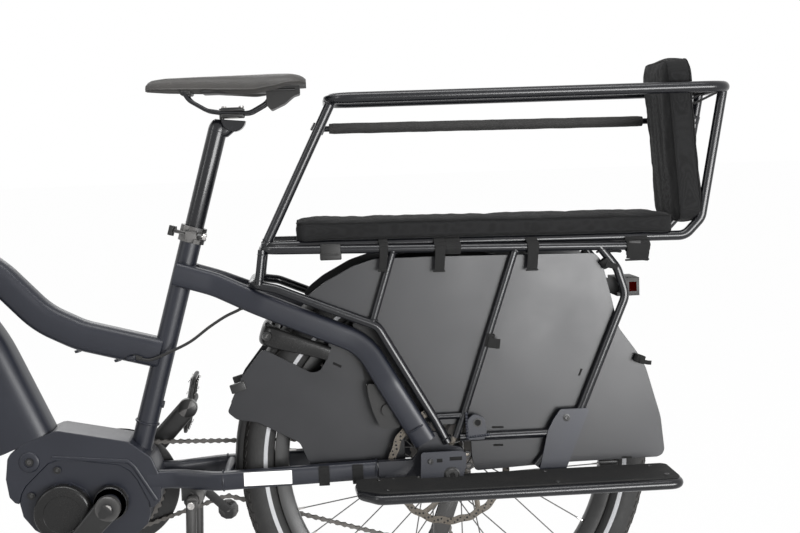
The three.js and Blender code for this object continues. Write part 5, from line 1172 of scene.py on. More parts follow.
for label, wheel in wheels.items():
    makeTyre(label, wheel)
    makeRim(label, wheel)
    makeSpokes(label, wheel)
    makeValve(label, wheel)
    makeDisc(label, wheel)
print("wheels made")


# Drive train
chainY = 48
chainPitch = 12.7
ringTeeth = 38
crankLength = 170
crankAngle = radians(46.7)


def pitchRadius(teeth):
    return chainPitch / (2 * sin(pi / teeth))


# The circles that the chain runs round: x, z, radius, and 1 or -1 for the way it turns
chainCircles = [(*crankAxle, pitchRadius(ringTeeth), -1), (0, 342, pitchRadius(11), -1), (16, 272, pitchRadius(11), 1),
                (-12, 192, pitchRadius(11), -1), (-370, 258, pitchRadius(11), 1)]


def chainRoute():
    # Straight runs that touch each circle, joined by arcs
    count = len(chainCircles)
    ways = []
    for i, (x, z, r, turn) in enumerate(chainCircles):
        nx, nz, nr, nturn = chainCircles[(i + 1) % count]
        dx, dz = nx - x, nz - z
        ways.append(atan2(dz, dx) + asin((turn * r - nturn * nr) / sqrt(dx * dx + dz * dz)))
    route = []
    for i, (x, z, r, turn) in enumerate(chainCircles):
        arrive, span = ways[i - 1], ways[i] - ways[i - 1]
        while turn * span < 0:
            span += turn * 2 * pi
        steps = max(1, ceil(abs(span) / radians(4)))
        for k in range(steps + 1):
            way = arrive + span * k / steps
            route.append((x + turn * r * sin(way), z - turn * r * cos(way)))
    return route


def evenSteps(route, pitch):
    # Points one pitch apart round a closed route
    lengths = [sqrt((b[0] - a[0]) ** 2 + (b[1] - a[1]) ** 2) for a, b in zip(route, route[1:] + route[:1])]
    count = int(sum(lengths) / pitch) // 2 * 2
    pitch = sum(lengths) / count
    points, walked, i = [], 0, 0
    for k in range(count):
        goal = k * pitch
        while walked + lengths[i] < goal:
            walked += lengths[i]
            i += 1
        a, b = route[i], route[(i + 1) % len(route)]
        share = (goal - walked) / max(lengths[i], 1e-9)
        points.append((lerp(a[0], b[0], share), lerp(a[1], b[1], share)))
    return points


def makeChain():
    bm = bmesh.new()
    joints = evenSteps(chainRoute(), chainPitch)
    for i, (a, b) in enumerate(zip(joints, joints[1:] + joints[:1])):
        middle = ((a[0] + b[0]) / 2, (a[1] + b[1]) / 2)
        way = atan2(b[1] - a[1], b[0] - a[0])
        outer = i % 2
        for face in (-1, 1):
            y = chainY + face * (3.05 if outer else 2.1)
            made = bmesh.ops.create_circle(bm, cap_ends=True, segments=16, radius=mm(4.1))["verts"]
            for v in made:
                # A circle pulled out to a link's length and narrowed to a waist
                x, z = v.co.x * 1000, v.co.y * 1000
                z *= 0.46 + 0.54 * min(1, abs(x) / 1.2)
                x += copysign(chainPitch / 2, x) if abs(x) > 0.01 else 0
                v.co = at(middle[0] + x * cos(way) - z * sin(way), y, middle[1] + x * sin(way) + z * cos(way))
            plate = next(f for f in made[0].link_faces if len(f.verts) == 16)
            thickened(bm, plate, Vector((0, mm(0.7) * face, 0)))
        turned(bm, [(0.01, -3.9), (1.8, -3.9), (1.8, 3.9), (0.01, 3.9)], at(a[0], chainY, a[1]), across, 8)
        sweep(bm, [at(a[0], chainY - 1.7, a[1]), at(a[0], chainY + 1.7, a[1])], 3.1, count=10)
    outwardFaces(bm)
    newPiece("chainLinks", bm, "chain", "frame", ("chain",))


def toothedRing(bm, middle, teeth, inner, y, thickness, depth=3.6):
    # A ring whose teeth are drawn with six points each
    radius = pitchRadius(teeth)
    shape = (0, 0.25, 0.85, 1, 0.85, 0.25)
    count = teeth * len(shape)
    loops = []
    for face in (-thickness / 2, thickness / 2):
        for outside in (False, True):
            made = bmesh.ops.create_circle(bm, segments=count, radius=1)["verts"]
            for i, v in enumerate(made):
                angle = 2 * pi * i / count
                reach = radius - 3.8 + depth * shape[i % len(shape)] if outside else inner
                v.co = at(middle[0] + reach * sin(angle), y + face, middle[1] + reach * cos(angle))
            loops.append(made)
    for a, b in ((0, 1), (1, 3), (3, 2), (2, 0)):
        joinRings(bm, loops[a], loops[b])


def crankPlace(sign, share=1.0, y=80):
    # A place along a crank, the share counted from the axle to the pedal
    reach = sign * crankLength * share
    return at(crankAxle[0] + reach * cos(crankAngle), sign * y, crankAxle[1] + reach * sin(crankAngle))


def makeCranks():
    x, z = crankAxle
    bm = bmesh.new()
    for sign in sides.values():
        path = [crankPlace(sign, s) for s in (-0.02, 0.08, 0.3, 0.6, 0.92, 1.0)]
        sweep(bm, path, 7, 18, 3.4, 28, sizes=(1.1, 1.1, 1, 0.94, 0.92, 0.92))
        turned(bm, [(0.01, -7.4), (18.6, -7.4), (20.4, -6), (20.4, 5.6), (18.6, 7.6), (9, 7.6), (8.6, 5), (0.01, 5)],
               at(x, sign * 80, z), outward(sign), 36)
        turned(bm, [(0.01, -7), (15, -7), (16.6, -6), (16.6, 6), (15, 7), (0.01, 7)],
               crankPlace(sign), outward(sign), 30)
    turned(bm, [(0.01, -73), (9, -73), (9, 40), (28, 41), (28, 45.6), (0.01, 45.6)], at(x, 0, z), across, 32)
    turned(bm, [(62, 52.8), (96, 52.8), (99.6, 53.4), (99.9, 54.4), (99.4, 55.4), (62, 55.4), (60, 54.4)],
           at(x, 0, z), across, 96, True)
    armAngles = [crankAngle + 2 * pi * i / 5 for i in range(5)]
    for angle in armAngles:
        path = [at(x + r * cos(angle), 49.5, z + r * sin(angle)) for r in (14, 34, 50, 66)]
        sweep(bm, path, 2.6, 8.5, 3, 16, sizes=(1.3, 1.1, 0.9, 0.8))
    outwardFaces(bm)
    newPiece("cranks", bm, "black", "cranks", ("crankset",))
    bm = bmesh.new()
    toothedRing(bm, crankAxle, ringTeeth, 58, chainY, 2.4)
    outwardFaces(bm)
    newPiece("chainRing", bm, "cog", "cranks")
    bm = bmesh.new()
    for sign in sides.values():
        capScrew(bm, at(x, sign * 85.2, z), outward(sign), 7.4, 1.6, 0.6)
        turned(bm, [(0.01, 0), (6, 0), (6, 0.8), (3, 0.8), (3, 0.2), (0.01, 0.2)],
               crankPlace(sign, 1, 87), outward(sign), 20)
    for angle in armAngles:
        capScrew(bm, at(x + 64 * cos(angle), 55.2, z + 64 * sin(angle)), across, 4, 1.8)
    newPiece("crankBolts", bm, "steel", "cranks")


# Pedals: the tilt in degrees at which each one hangs
pedals = {"Left": {"tilt": 0, "body": "left_pedal"}, "Right": {"tilt": 78, "body": "right_pedal"}}


def makePedals():
    for name, sign in sides.items():
        tilt = radians(pedals[name]["tilt"])
        centre = crankPlace(sign, 1, 0)
        flatWay = Vector((cos(tilt), 0, sin(tilt)))
        upWay = Vector((-sin(tilt), 0, cos(tilt)))
        body = pedals[name]["body"]

        def spot(u, v, w):
            # Along the pedal's flat, away from the crank, and up from its face
            return centre + flatWay * mm(u) + Vector((0, sign * mm(v), 0)) + upWay * mm(w)

        bm = bmesh.new()
        corners = ((-43, 99), (43, 99), (46, 140), (41, 180), (-41, 180), (-46, 140))
        outline = bend([spot(u, v, 0) for u, v in corners], 16, 5, True)
        sweep(bm, outline, 3.2, 7.6, 4, 16, closed=True)
        for v in (118, 140, 162):
            sweep(bm, [spot(-44, v, 0), spot(44, v, 0)], 2.6, 5.8, 3, 14)
        sweep(bm, [spot(0, 95, 0), spot(0, 183, 0)], 8.8, 6.8, 3, 20)
        for u in (-22, 22):
            sweep(bm, [spot(u, 99, 0), spot(u, 180, 0)], 2.4, 5, 3, 12)
        newPiece("pedalCage" + name, bm, "plastic", body, ("pedal_" + nodeSide[name],))
        bm = bmesh.new()
        sweep(bm, [spot(0, 88.2, 0), spot(0, 96, 0)], 5.4, count=16)
        for u in (-41, -20, 20, 41):
            for v in (103, 118, 140, 162, 176):
                for w in (-1, 1):
                    turned(bm, [(0.01, 0), (1.6, 0), (1.6, 1.2), (0.01, 1.4)], spot(u, v, w * 6.4), upWay * w, 6)
        newPiece("pedalPins" + name, bm, "steel", body)
        bm = bmesh.new()
        for u in (-46.4, 46.4):
            roundedBox(bm, spot(u * 0.98, 140, 0), (3, 44, 9), 1, Matrix.Rotation(-tilt, 3, "Y"))
        newPiece("pedalReflectors" + name, bm, "clear", body)


# Cassette: teeth and y of each cog
cogs = ((29, 23.5), (25, 26.9), (22, 30.3), (19, 33.7), (16, 37.1), (13, 40.5), (11, 48))


def makeCogs():
    bm = bmesh.new()
    for teeth, y in cogs:
        toothedRing(bm, (0, tyreRadius), teeth, 18.5, y, 1.7, 3.4)
    turned(bm, [(18, 21.9), (21, 21.9), (21, 45.5), (18, 45.5)], at(0, 0, tyreRadius), across, 40, True)
    outwardFaces(bm)
    newPiece("cogStack", bm, "cog", "cogs", ("cassette",))


def makeDerailleur():
    refined("derailleurBody", "derailleur", "black", "frame", 0.5, 2, 26)
    bm = bmesh.new()
    for x, z, y in ((16, 272, 54.4), (-12, 192, 54.4), (-370, 258, 54.4)):
        capScrew(bm, at(x, y, z), across, 3.6, 2)
    capScrew(bm, at(10, 74, 316), across, 6, 2.2)
    newPiece("derailleurScrews", bm, "steel", "frame")


makeChain()
makeCranks()
makePedals()
makeCogs()
makeDerailleur()
print("drive train made")


# Stand
# A leg runs from its top by the knee, given as (x, z), to the foot, given as (x, y)
stand = {"x": -420, "z": 300, "y": 62.5, "radius": 8.5, "knee": (-428, 116), "foot": (-434, 140)}


def makeStand():
    refined("standBracket", "stand_bracket", "black", "frame", 0.8, 3, 26, smooth=50)
    bm = bmesh.new()
    for sign in sides.values():
        path = [at(stand["x"], sign * stand["y"], 306), at(stand["knee"][0], sign * stand["y"], stand["knee"][1]),
                at(stand["foot"][0], sign * stand["foot"][1], 9)]
        tube(bm, path, stand["radius"], 24, 24)
    sweep(bm, [at(stand["x"], -60, stand["z"]), at(stand["x"], 60, stand["z"])], 9.8, count=24)
    newPiece("standLegs", bm, "black", "stand", ("stand_legs",))
    bm = bmesh.new()
    for sign in sides.values():
        middle = at(stand["foot"][0], sign * stand["foot"][1], 0)
        turned(bm, [(0.01, 0.2), (10.5, 0.2), (11.8, 1.4), (11.8, 10), (10, 15), (8.6, 21), (8.4, 21)],
               middle, upwards, 28)
    newPiece("standFeet", bm, "grip", "stand")
    bm = bmesh.new()
    for sign in sides.values():
        capScrew(bm, at(stand["x"], sign * 70.6, stand["z"]), outward(sign), 6, 2.2)
    newPiece("standScrews", bm, "steel", "stand")


# Saddle, its post and the collar
def makeSeatPost():
    bm = bmesh.new()
    foot = onSeat(502)
    turned(bm, [(0.01, 0), (14.6, 0), (15.4, 1.5), (15.4, 414), (15.1, 419), (14, 424), (11.6, 428), (7.6, 431),
                (0.01, 432)],
           foot, (onSeat(892) - foot).normalized(), 48)
    # Cradle under the saddle clamp: a half-moon on the post's rear side
    cradle = bmesh.new()
    turned(cradle, [(0.01, -16), (18.4, -16), (19.4, -15), (19.4, 15), (18.4, 16), (0.01, 16)],
           at(-327, 0, 915.6), across, 48)
    cutAway(cradle, at(-327, 0, 914.6), Vector((0.1, 0, 1)).normalized(), clear_outer=True)
    add(bm, cradle)
    neck = [onSeat(897), onSeat(900) + backwards * mm(12), at(-332, 0, 906)]
    sweep(bm, neck, 13.4, 13.4, 2.6, 24, sizes=(0.9, 0.94, 0.8))
    newPiece("seatPost", bm, "tube", "post", ("seat_post",))
    bm = bmesh.new()
    turned(bm, [(15.5, 0), (15.75, 0.2), (15.75, 1), (15.5, 1.2)], onSeat(897.5), seatAxis, 48, True)
    for i in range(11):
        middle = onSeat(752 + i * 9, -15.2)
        roundedBox(bm, middle, (0.5, 5 if i % 5 else 9, 0.7), 0.2, facing(seatAxis.cross(across)).to_3x3())
    newPiece("postMarks", bm, "plate", "post")


def makeCollar():
    refined("seatCollar", "seat_collar", "black", "frame", 0.7, 3, 24, smooth=50)
    refined("seatLever", "seat_lever", "black", "lever", 1.6, 4, 24, smooth=60)
    bm = bmesh.new()
    axis = Vector((1, 0, -0.27))
    turned(bm, [(2.4, 0), (6, 0), (6.4, 1.2), (6.4, 5), (5.6, 6), (2.8, 6.2), (2.4, 5)],
           at(-384, -25, 728.6), axis, 28, True)
    turned(bm, [(0.01, 0), (2.6, 0), (2.6, 8), (0.01, 8.4)], at(-388, -25, 729.4), axis, 16)
    newPiece("collarNut", bm, "steel", "frame")


# The saddle's sections: share of the length, then shares of the half width, drop and depth
saddleShape = {"front": -467, "length": 261, "halfWidth": 78, "top": 987, "depth": 36, "lowest": 950.2}
saddleShares = [(0.0, 0.1, 0.42, 0.22), (0.03, 0.2, 0.12, 0.55), (0.14, 0.26, 0.02, 0.72), (0.34, 0.33, 0.0, 0.8),
                (0.52, 0.47, 0.0, 0.9), (0.68, 0.74, 0.0, 0.98), (0.78, 0.94, 0.0, 0.86), (0.9, 1.0, 0.02, 0.6),
                (0.97, 0.9, 0.12, 0.5), (1.0, 0.7, 0.36, 0.26)]


def saddleSection(share):
    for a, b in zip(saddleShares, saddleShares[1:]):
        if a[0] <= share <= b[0]:
            k = (share - a[0]) / (b[0] - a[0])
            k = k * k * (3 - 2 * k) * 0.35 + k * 0.65
            return [lerp(u, v, k) for u, v in zip(a, b)]


def makeSaddle():
    size = saddleShape
    bm = bmesh.new()
    rings = []
    steps = 44
    count = 48
    for i in range(steps + 1):
        share = i / steps
        _, wide, drop, deep = saddleSection(share)
        half = size["halfWidth"] * wide
        rise = size["top"] - size["depth"] * drop
        depth = size["depth"] * deep * 0.98
        x = size["front"] + size["length"] * share
        made = bmesh.ops.create_circle(bm, segments=count, radius=1)["verts"]
        for v in made:
            c, s = v.co.x, v.co.y
            y = copysign(abs(c) ** 0.8, c) * half
            crown = (abs(y) / max(half, 1)) ** 2.2
            if s >= 0:
                # The top falls away to both sides and has a groove along its middle
                z = rise - depth * 0.42 * crown * (1 - 0.15 * share)
                z -= depth * 0.55 * (1 - s) ** 2.4 * (1 if abs(c) > 0.9 else crown)
                z -= 3.0 * max(0, 1 - abs(y) / 13) ** 2 * min(1, share * 5) * min(1, (1 - share) * 6)
            else:
                # The underside is hollow between its rims
                z = rise - depth * (0.55 + 0.45 * min(1, -s * 1.4))
                z += (10 if abs(y) < half * 0.6 else 0) * min(1, -s * 1.2) * deep
            v.co = at(x, y, max(z, size["lowest"]))
        rings.append(made)
    for a, b in zip(rings, rings[1:]):
        joinRings(bm, a, b)
    bm.faces.new(rings[0])
    bm.faces.new(list(reversed(rings[-1])))
    for _ in range(2):
        bmesh.ops.smooth_vert(bm, verts=bm.verts[:], factor=0.5, use_axis_x=True, use_axis_y=True, use_axis_z=True)
    outwardFaces(bm)
    piece = newPiece("saddleCover", bm, "vinyl", "seat", ("saddle",), 180)
    bm = bmesh.new()
    rail = ((-404, 962), (-396, 948), (-368, 931), (-345, 927), (-300, 925), (-272, 940), (-262, 958))
    for sign in sides.values():
        tube(bm, [at(x, sign * 22, z) for x, z in rail], 3.4, 26, 16)
    newPiece("saddleRails", bm, "tube", "seat", ("saddle_rails",))
    bm = bmesh.new()
    for z in (921.5, 931.5):
        for y in (-21.56, 21.56):
            roundedBox(bm, at(-328, y, z), (36, 11, 6), 2.4)
    roundedBox(bm, at(-328, 0, 932), (22, 46, 5), 2)
    roundedBox(bm, at(-328, 0, 921.6), (18, 46, 5), 2)
    turned(bm, [(0.01, 0), (4, 0), (4, 26), (0.01, 26)], at(-346, 0, 908), upwards, 20)
    newPiece("saddleClamp", bm, "black", "seat")
    bm = bmesh.new()
    for x in (-342, -314):
        capScrew(bm, at(x, 0, 934), upwards, 4.2, 3.6)
    newPiece("saddleScrews", bm, "steel", "seat")
    bm = bmesh.new()
    plateOutline(bm, [(-272, 966), (-272, 936), (-265, 928), (-243, 938), (-228, 950), (-218, 953), (-218, 966)],
                 -30, 60, 2)
    roundedBox(bm, at(-400, 0, 960), (18, 50, 8), 3)
    roundedBox(bm, at(-300, 0, 960), (150, 62, 5), 2)
    newPiece("saddleBase", bm, "plastic", "seat")


makeStand()
makeSeatPost()
makeCollar()
makeSaddle()
print("stand and saddle made")


# Steering: fork, headset, stem, bar, grips, levers and headlamp; crown and rise are counted along the steering axis
fork = {"crown": 423.7, "legY": 68.6, "crownY": 62, "tip": 16}
stem = {"rise": 655, "clamp": (-1040, 945), "radius": 17}
barRoute = [(-1040, 0, 945), (-1040, 62, 949), (-1020, 158, 1018), (-958, 338, 1044)]


def leverWays(sign):
    # Both ends of the bar's grip part, its heading, and the way from it to the lever
    inner, end = [at(x, sign * y, z) for x, y, z in barRoute[2:]]
    heading = (end - inner).normalized()
    forward = Vector((-1, 0, -8 / 46))
    forward = (forward - heading * forward.dot(heading)).normalized()
    return inner, end, heading, forward


def makeFork():
    bm = bmesh.new()
    crown = onSteer(fork["crown"])
    tops = [crown + Vector((0, mm(sign * fork["crownY"]), 0)) for sign in sides.values()]
    for top, sign in zip(tops, sides.values()):
        axle = at(-wheelbase, sign * fork["legY"], tyreRadius)
        way = (axle - top).normalized()
        route = [top + way * mm(-6), top + way * mm(20), lerp(top, axle, 0.35), lerp(top, axle, 0.9),
                 axle + way * mm(fork["tip"] - 1)]
        sweep(bm, route, 12.9, 12.9, 2.6, 28, side=backwards, sizes=(0.8, 0.88, 1, 0.86, 0.8))
        turned(bm, [(6.4, -5.6), (13, -5.6), (14, -4.6), (14, 4.6), (13, 5.6), (6.4, 5.6)], axle, across, 32, True)
    left, right = tops
    bridge = [left, lerp(left, right, 0.15), crown, lerp(left, right, 0.85), right]
    sweep(bm, bridge, 15.8, count=32, sizes=(0.8, 0.94, 1, 0.94, 0.8))
    turned(bm, [(0.01, 0), (21, 0), (22.6, 2), (22.6, 17.6), (21.4, 18.6), (15.8, 18.6), (15.8, 138), (0.01, 138)],
           onSteer(424), steerAxis, 40)
    newPiece("forkBody", bm, "frame", "steering", ("fork",))
    bm = bmesh.new()
    turned(bm, [(17, 0), (22.5, 0), (22.9, 1), (22.9, 3), (17, 3)], onSteer(563.2), steerAxis, 40, True)
    turned(bm, [(17.2, 0), (21.4, 0), (21.8, 1), (21.8, 11), (21, 12), (17.2, 12)], onSteer(566.6), steerAxis, 40, True)
    newPiece("headsetRings", bm, "black", "steering")


def makeStem():
    bm = bmesh.new()
    points = [at(x, -y, z) for x, y, z in reversed(barRoute[1:])] + [at(x, y, z) for x, y, z in barRoute]
    sweep(bm, bend(points, 60, 9), 11, count=24, side=upwards)
    clamp = at(stem["clamp"][0], 0, stem["clamp"][1])
    top = onSteer(stem["rise"])
    high = stem["rise"] - 563.6
    turned(bm, [(0.01, 0), (16.6, 0), (17, 1), (17, high - 1.4), (15.6, high), (0.01, high)],
           onSteer(564), steerAxis, 36)
    sweep(bm, [lerp(top, onSteer(600), 0.25), lerp(top, clamp, 0.5), clamp], 15, 15, 3, 28, sizes=(1, 0.9, 1))
    turned(bm, [(11.1, -23), (17.6, -23), (18.8, -21.6), (18.8, -3), (18, -2), (18, 2), (18.8, 3), (18.8, 21.6),
                (17.6, 23), (11.1, 23)], clamp, across, 36, True)
    newPiece("handlebarTube", bm, "black", "steering", ("handlebar",))
    bm = bmesh.new()
    for y in (-14, 14):
        for rise in (-11, 11):
            capScrew(bm, clamp + Vector((-0.0155, mm(y), mm(rise))), Vector((-1, 0, rise * 0.02)), 3.2, 2.6)
    capScrew(bm, onSteer(656.5), steerAxis, 4, 2)
    newPiece("stemScrews", bm, "steel", "steering")


def makeGripsAndLevers():
    for name, sign in sides.items():
        inner, end, heading, forward = leverWays(sign)
        bm = bmesh.new()
        start = lerp(inner, end, 0.33)
        length = (end - start).length * 1000
        profile = [(11.2, 0), (15.6, 0.4), (16.2, 2), (16, 4), (14.6, 5.4)]
        distance = 7
        while distance < length - 8:
            # One rib of the grip
            swell = sin(pi * distance / length)
            profile += [(14.2 + swell, distance), (15 + swell, distance + 0.7), (15 + swell, distance + 2.3),
                        (14.2 + swell, distance + 3)]
            distance += 3.6
        profile += [(15.4, length - 5), (16, length - 3.6), (15.6, length - 0.6), (14, length), (0.01, length)]
        turned(bm, profile, start, heading, 32)
        newPiece("grip" + name, bm, "grip", "steering", (), 50)
        bm = bmesh.new()
        root = lerp(inner, end, 0.16)

        def spot(ahead, along):
            return root + forward * mm(ahead) + heading * mm(along)

        turned(bm, [(11.2, -8), (14.8, -8), (15.4, -7), (15.4, 7), (14.8, 8), (11.2, 8)], root, heading, 32, True)
        sweep(bm, [spot(12, 0), spot(26, 0), spot(38.4, 0)], 7, 8, 3, 24, sizes=(1.1, 1, 0.84))
        sweep(bm, [spot(20, -2), spot(28, -26), spot(26, -52)], 7.4, 7.4, 2.4, 24, sizes=(0.9, 1, 0.9))
        newPiece("leverPerch" + name, bm, "black", "steering")
        bm = bmesh.new()
        hinge = heading.cross(forward).normalized()
        turned(bm, [(0.01, -6.8), (5.6, -6.8), (6.6, -5.8), (6.6, 5.8), (5.6, 6.8), (0.01, 6.8)],
               spot(46, 0), hinge, 28)
        blade = [spot(46, 0), spot(46.6, 24), spot(47, 56), spot(46.2, 88), spot(46.6, 106), spot(46.8, 112)]
        sizes = [1.15 - 0.2 * min(1, i / 9) for i in range(25)] + [0.8]
        sweep(bm, smoothRoute(blade, 5), 4.4, 3.4, 2.6, 20, side=hinge, sizes=sizes)
        side = nodeSide[name]
        newPiece("brakeLever" + name, bm, "black", side + "_brake", ("brake_lever_" + side,))


def makeHeadlamp():
    # The bracket is the CAD node's own, behind the case
    front = at(-1118, 0, 768)
    bm = bmesh.new()
    bm.from_mesh(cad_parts["headlamp"].data)
    bmesh.ops.remove_doubles(bm, verts=bm.verts[:], dist=mergeDistance)
    cutAway(bm, at(-1073, 0, 768), backwards, clear_inner=True)
    turned(bm, [(27, 1.2), (28.6, 0.4), (28.8, 2), (28.8, 20), (27.4, 30), (22, 40), (13, 45.4), (0.01, 45.6)],
           front, backwards, 48)
    turned(bm, [(27, 1.2), (24.6, 4.4), (24, 6)], front, backwards, 48)
    newPiece("headlampCase", bm, "plastic", "steering", ("headlamp",), 50)
    bm = bmesh.new()
    turned(bm, [(0.01, 2.2), (12, 2.5), (22, 4), (24.4, 5.4), (24.4, 8), (0.01, 8)], front, backwards, 48)
    newPiece("headlampLens", bm, "clear", "steering")
    bm = bmesh.new()
    turned(bm, [(0.01, 1.4), (5, 1.4), (6.2, 2.2), (6.2, 4), (0.01, 4)], front, backwards, 32)
    newPiece("headlampCentre", bm, "steel", "steering")


# Mudguards: first and last angle in degrees, then the section as (share of the half width, drop)
mudguard = {"outer": 351.2, "half": 30.8, "rear": (-92, 78), "front": (-30, 118), "tab": 26.5,
            "section": [(-1, 13.6), (-0.97, 9), (-0.8, 4.4), (-0.45, 1.2), (0, 0.1),
                        (0.45, 1.2), (0.8, 4.4), (0.97, 9), (1, 13.6)]}


def makeMudguards():
    for label, body in (("rear", "frame"), ("front", "steering")):
        bm = bmesh.new()
        wheel, (start, stop) = wheels[label], mudguard[label]
        middle = hubOf(wheel)
        count = 60
        verts = []
        for share, drop in mudguard["section"]:
            radius = mudguard["outer"] - 0.4 - drop
            verts.append(bm.verts.new(onWheel(wheel, radius, radians(start + 0.4), share * mudguard["half"])))
        edges = [bm.edges.new(pair) for pair in zip(verts, verts[1:])]
        bmesh.ops.spin(bm, geom=verts + edges, cent=middle, axis=across, angle=radians(stop - start - 0.8), steps=count)
        outwardFaces(bm)
        outwards = bm.faces[:][count // 2]
        if outwards.normal.dot(outwards.calc_center_median() - middle) < 0:
            bmesh.ops.reverse_faces(bm, faces=bm.faces[:])
        bmesh.ops.solidify(bm, geom=bm.faces[:], thickness=mm(1.9))
        if label == "front":
            foot = onWheel(wheel, mudguard["outer"] - 1.4, radians(mudguard["tab"]), 0)
            sweep(bm, [foot, lerp(foot, onSteer(fork["crown"] - 19), 0.96)], 6.4, count=20)
        newPiece(label + "Mudguard", bm, "fender", body, ("mudguard_" + label,), 60)
    bm = bmesh.new()
    for angle in (-70, -52, 12, 40):
        place = onWheel(wheels["rear"], mudguard["outer"] - 1, radians(angle), 0)
        capScrew(bm, place, place - hubOf(wheels["rear"]), 3.4, 2)
    newPiece("rearMudguardScrews", bm, "black", "frame")


makeFork()
makeStem()
makeGripsAndLevers()
makeHeadlamp()
makeMudguards()
print("steering and mudguards made")


# Bench cushions, foam bar and straps: swell, bumps and folds are how far the cloth moves at most
cushions = {
    "seat": {"node": "seat_cushion", "length": 617, "width": 148, "thick": 32, "corner": 15, "rim": 4.5, "swell": 3,
             "bumps": 1.5, "folds": 0.7},
    "back": {"node": "backrest", "length": 272, "width": 145, "thick": 43, "corner": 24, "rim": 4, "swell": 4,
             "bumps": 0.5, "folds": 1.5},
}


def blankPad(size):
    # The pad before it is filled: x along, y across, z its thickness
    bm = bmesh.new()
    bmesh.ops.create_cube(bm, size=1)
    bmesh.ops.scale(bm, vec=Vector([mm(size[key] - 2) for key in ("length", "width", "thick")]), verts=bm.verts[:])
    upright = [e for e in bm.edges if abs(e.verts[0].co.z - e.verts[1].co.z) > 0.001]
    softened(bm, upright, size["corner"], 6)
    softened(bm, rimEdges(bm, 2, 0.8), size["rim"], 3)
    return bm


def applyAll(piece):
    graph = bpy.context.evaluated_depsgraph_get()
    solid = bpy.data.meshes.new_from_object(piece.evaluated_get(graph), depsgraph=graph)
    piece.modifiers.clear()
    old = piece.data
    piece.data = solid
    bpy.data.meshes.remove(old)


def fill(piece, cap):
    # The pad swells under its own pressure; how far a point may travel is capped
    remesh = piece.modifiers.new("evenMesh", "REMESH")
    remesh.mode = "VOXEL"
    remesh.voxel_size = mm(4.5)
    applyAll(piece)
    start = [v.co.copy() for v in piece.data.vertices]
    cloth = piece.modifiers.new("filling", "CLOTH")
    cloth.settings.quality = 6
    cloth.settings.use_pressure = True
    cloth.settings.uniform_pressure_force = 4
    cloth.settings.effector_weights.gravity = 0
    cloth.collision_settings.use_collision = False
    lastFrame = 20
    cloth.point_cache.frame_start = 1
    cloth.point_cache.frame_end = lastFrame
    for step in range(1, lastFrame + 1):
        bpy.context.scene.frame_set(step)
    applyAll(piece)
    bpy.context.scene.frame_set(1)
    for v, old in zip(piece.data.vertices, start):
        shift = v.co - old
        if shift.length > mm(cap):
            v.co = old + shift.normalized() * mm(cap)


def cushionPlace(kind):
    # The bench slopes down to the rear, the backrest leans back
    if kind == "seat":
        slope = atan2(10, 679)
        way, rise = Vector((cos(slope), 0, -sin(slope))), Vector((sin(slope), 0, cos(slope)))
        middle = at(71.5, 0, 729)
    else:
        lean = radians(4.3)
        way, rise = Vector((-sin(lean), 0, cos(lean))), Vector((-cos(lean), 0, -sin(lean)))
        middle = at(397.5, 0, 857.5)
    turn = Matrix((way, rise.cross(way), rise)).transposed().to_4x4()
    turn.translation = middle
    return turn


def pucker(piece, kind, size):
    # Stitching gathers the cloth: low bumps along the top edge, long folds down the face
    half, wide, thick = mm(size["length"]) / 2, mm(size["width"]) / 2, mm(size["thick"]) / 2
    for v in piece.data.vertices:
        x, y, z = v.co
        u, w, top = x / half, y / wide, max(0, z / thick)
        bumps = noise.noise(Vector((x * 17, y * 5, 2))) + 0.5 * noise.noise(Vector((x * 41, y * 12, 9)))
        along, other = (y, x) if kind == "back" else (x, y)
        folds = noise.noise(Vector((along * 60, other * 9, 5)))
        fine = noise.noise(v.co * 130)
        edge = max(0, 1 - abs(1 - max(abs(u) * half / (half - 0.004), abs(w) * wide / (wide - 0.004))) * 12)
        v.co.z += mm((size["bumps"] * bumps + size["folds"] * folds + 0.3 * fine) * top + 0.6 * fine * edge)
        z = v.co.z
        ripple = noise.noise(Vector((x * 30, z * 50, 7))) + 0.6 * noise.noise(Vector((x * 85, z * 30, 4)))
        v.co.y += copysign(mm(0.9 * ripple), v.co.y) * min(1, abs(w)) ** 6


def makeCushion(kind):
    size = cushions[kind]
    piece = linked(kind + "Cushion", meshFrom(kind + "Cushion", blankPad(size)))
    fill(piece, size["swell"])
    finer = piece.modifiers.new("finer", "SUBSURF")
    finer.levels = finer.render_levels = 1
    applyAll(piece)
    pucker(piece, kind, size)
    makeSeams(kind, size, piece.data)
    piece.data.transform(cushionPlace(kind))
    piece.data.materials.clear()
    piece.data.materials.append(finishes["cloth"])
    piece.data.shade_smooth()
    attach(piece, "frame")
    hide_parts(size["node"])


def makeSeams(kind, size, mesh):
    # Sewn seams run round both rims and lie on the cloth
    tree = BVHTree.FromPolygons([v.co for v in mesh.vertices], [p.vertices for p in mesh.polygons])
    bm = bmesh.new()
    half, wide = size["length"] / 2, size["width"] / 2
    for level in (size["thick"] / 2 - 1.5, 1.5 - size["thick"] / 2):
        corners = ((-half, -wide), (half, -wide), (half, wide), (-half, wide))
        rounded = bend([Vector((mm(u), mm(v), mm(level))) for u, v in corners], size["corner"], 8, True)
        route = []
        for a, b in zip(rounded, rounded[1:] + rounded[:1]):
            steps = max(1, int((b - a).length / 0.006))
            route += [lerp(a, b, k / steps) for k in range(steps)]
        onCloth = []
        for point in route:
            place, normal, _, _ = tree.find_nearest(point)
            onCloth.append(place + normal * mm(0.25))
        sweep(bm, onCloth, 1.15, count=8, closed=True)
    bm.transform(cushionPlace(kind))
    newPiece(kind + "CushionSeams", bm, "piping", "frame")


# The sleeve's ends and the bar's own ends, as (x, z)
foam = {"y": 78, "front": (-172, 898), "rear": (368, 893), "barFront": (-190, 898), "barRear": (453, 892.4),
        "radius": 9, "core": 5, "steps": 60}


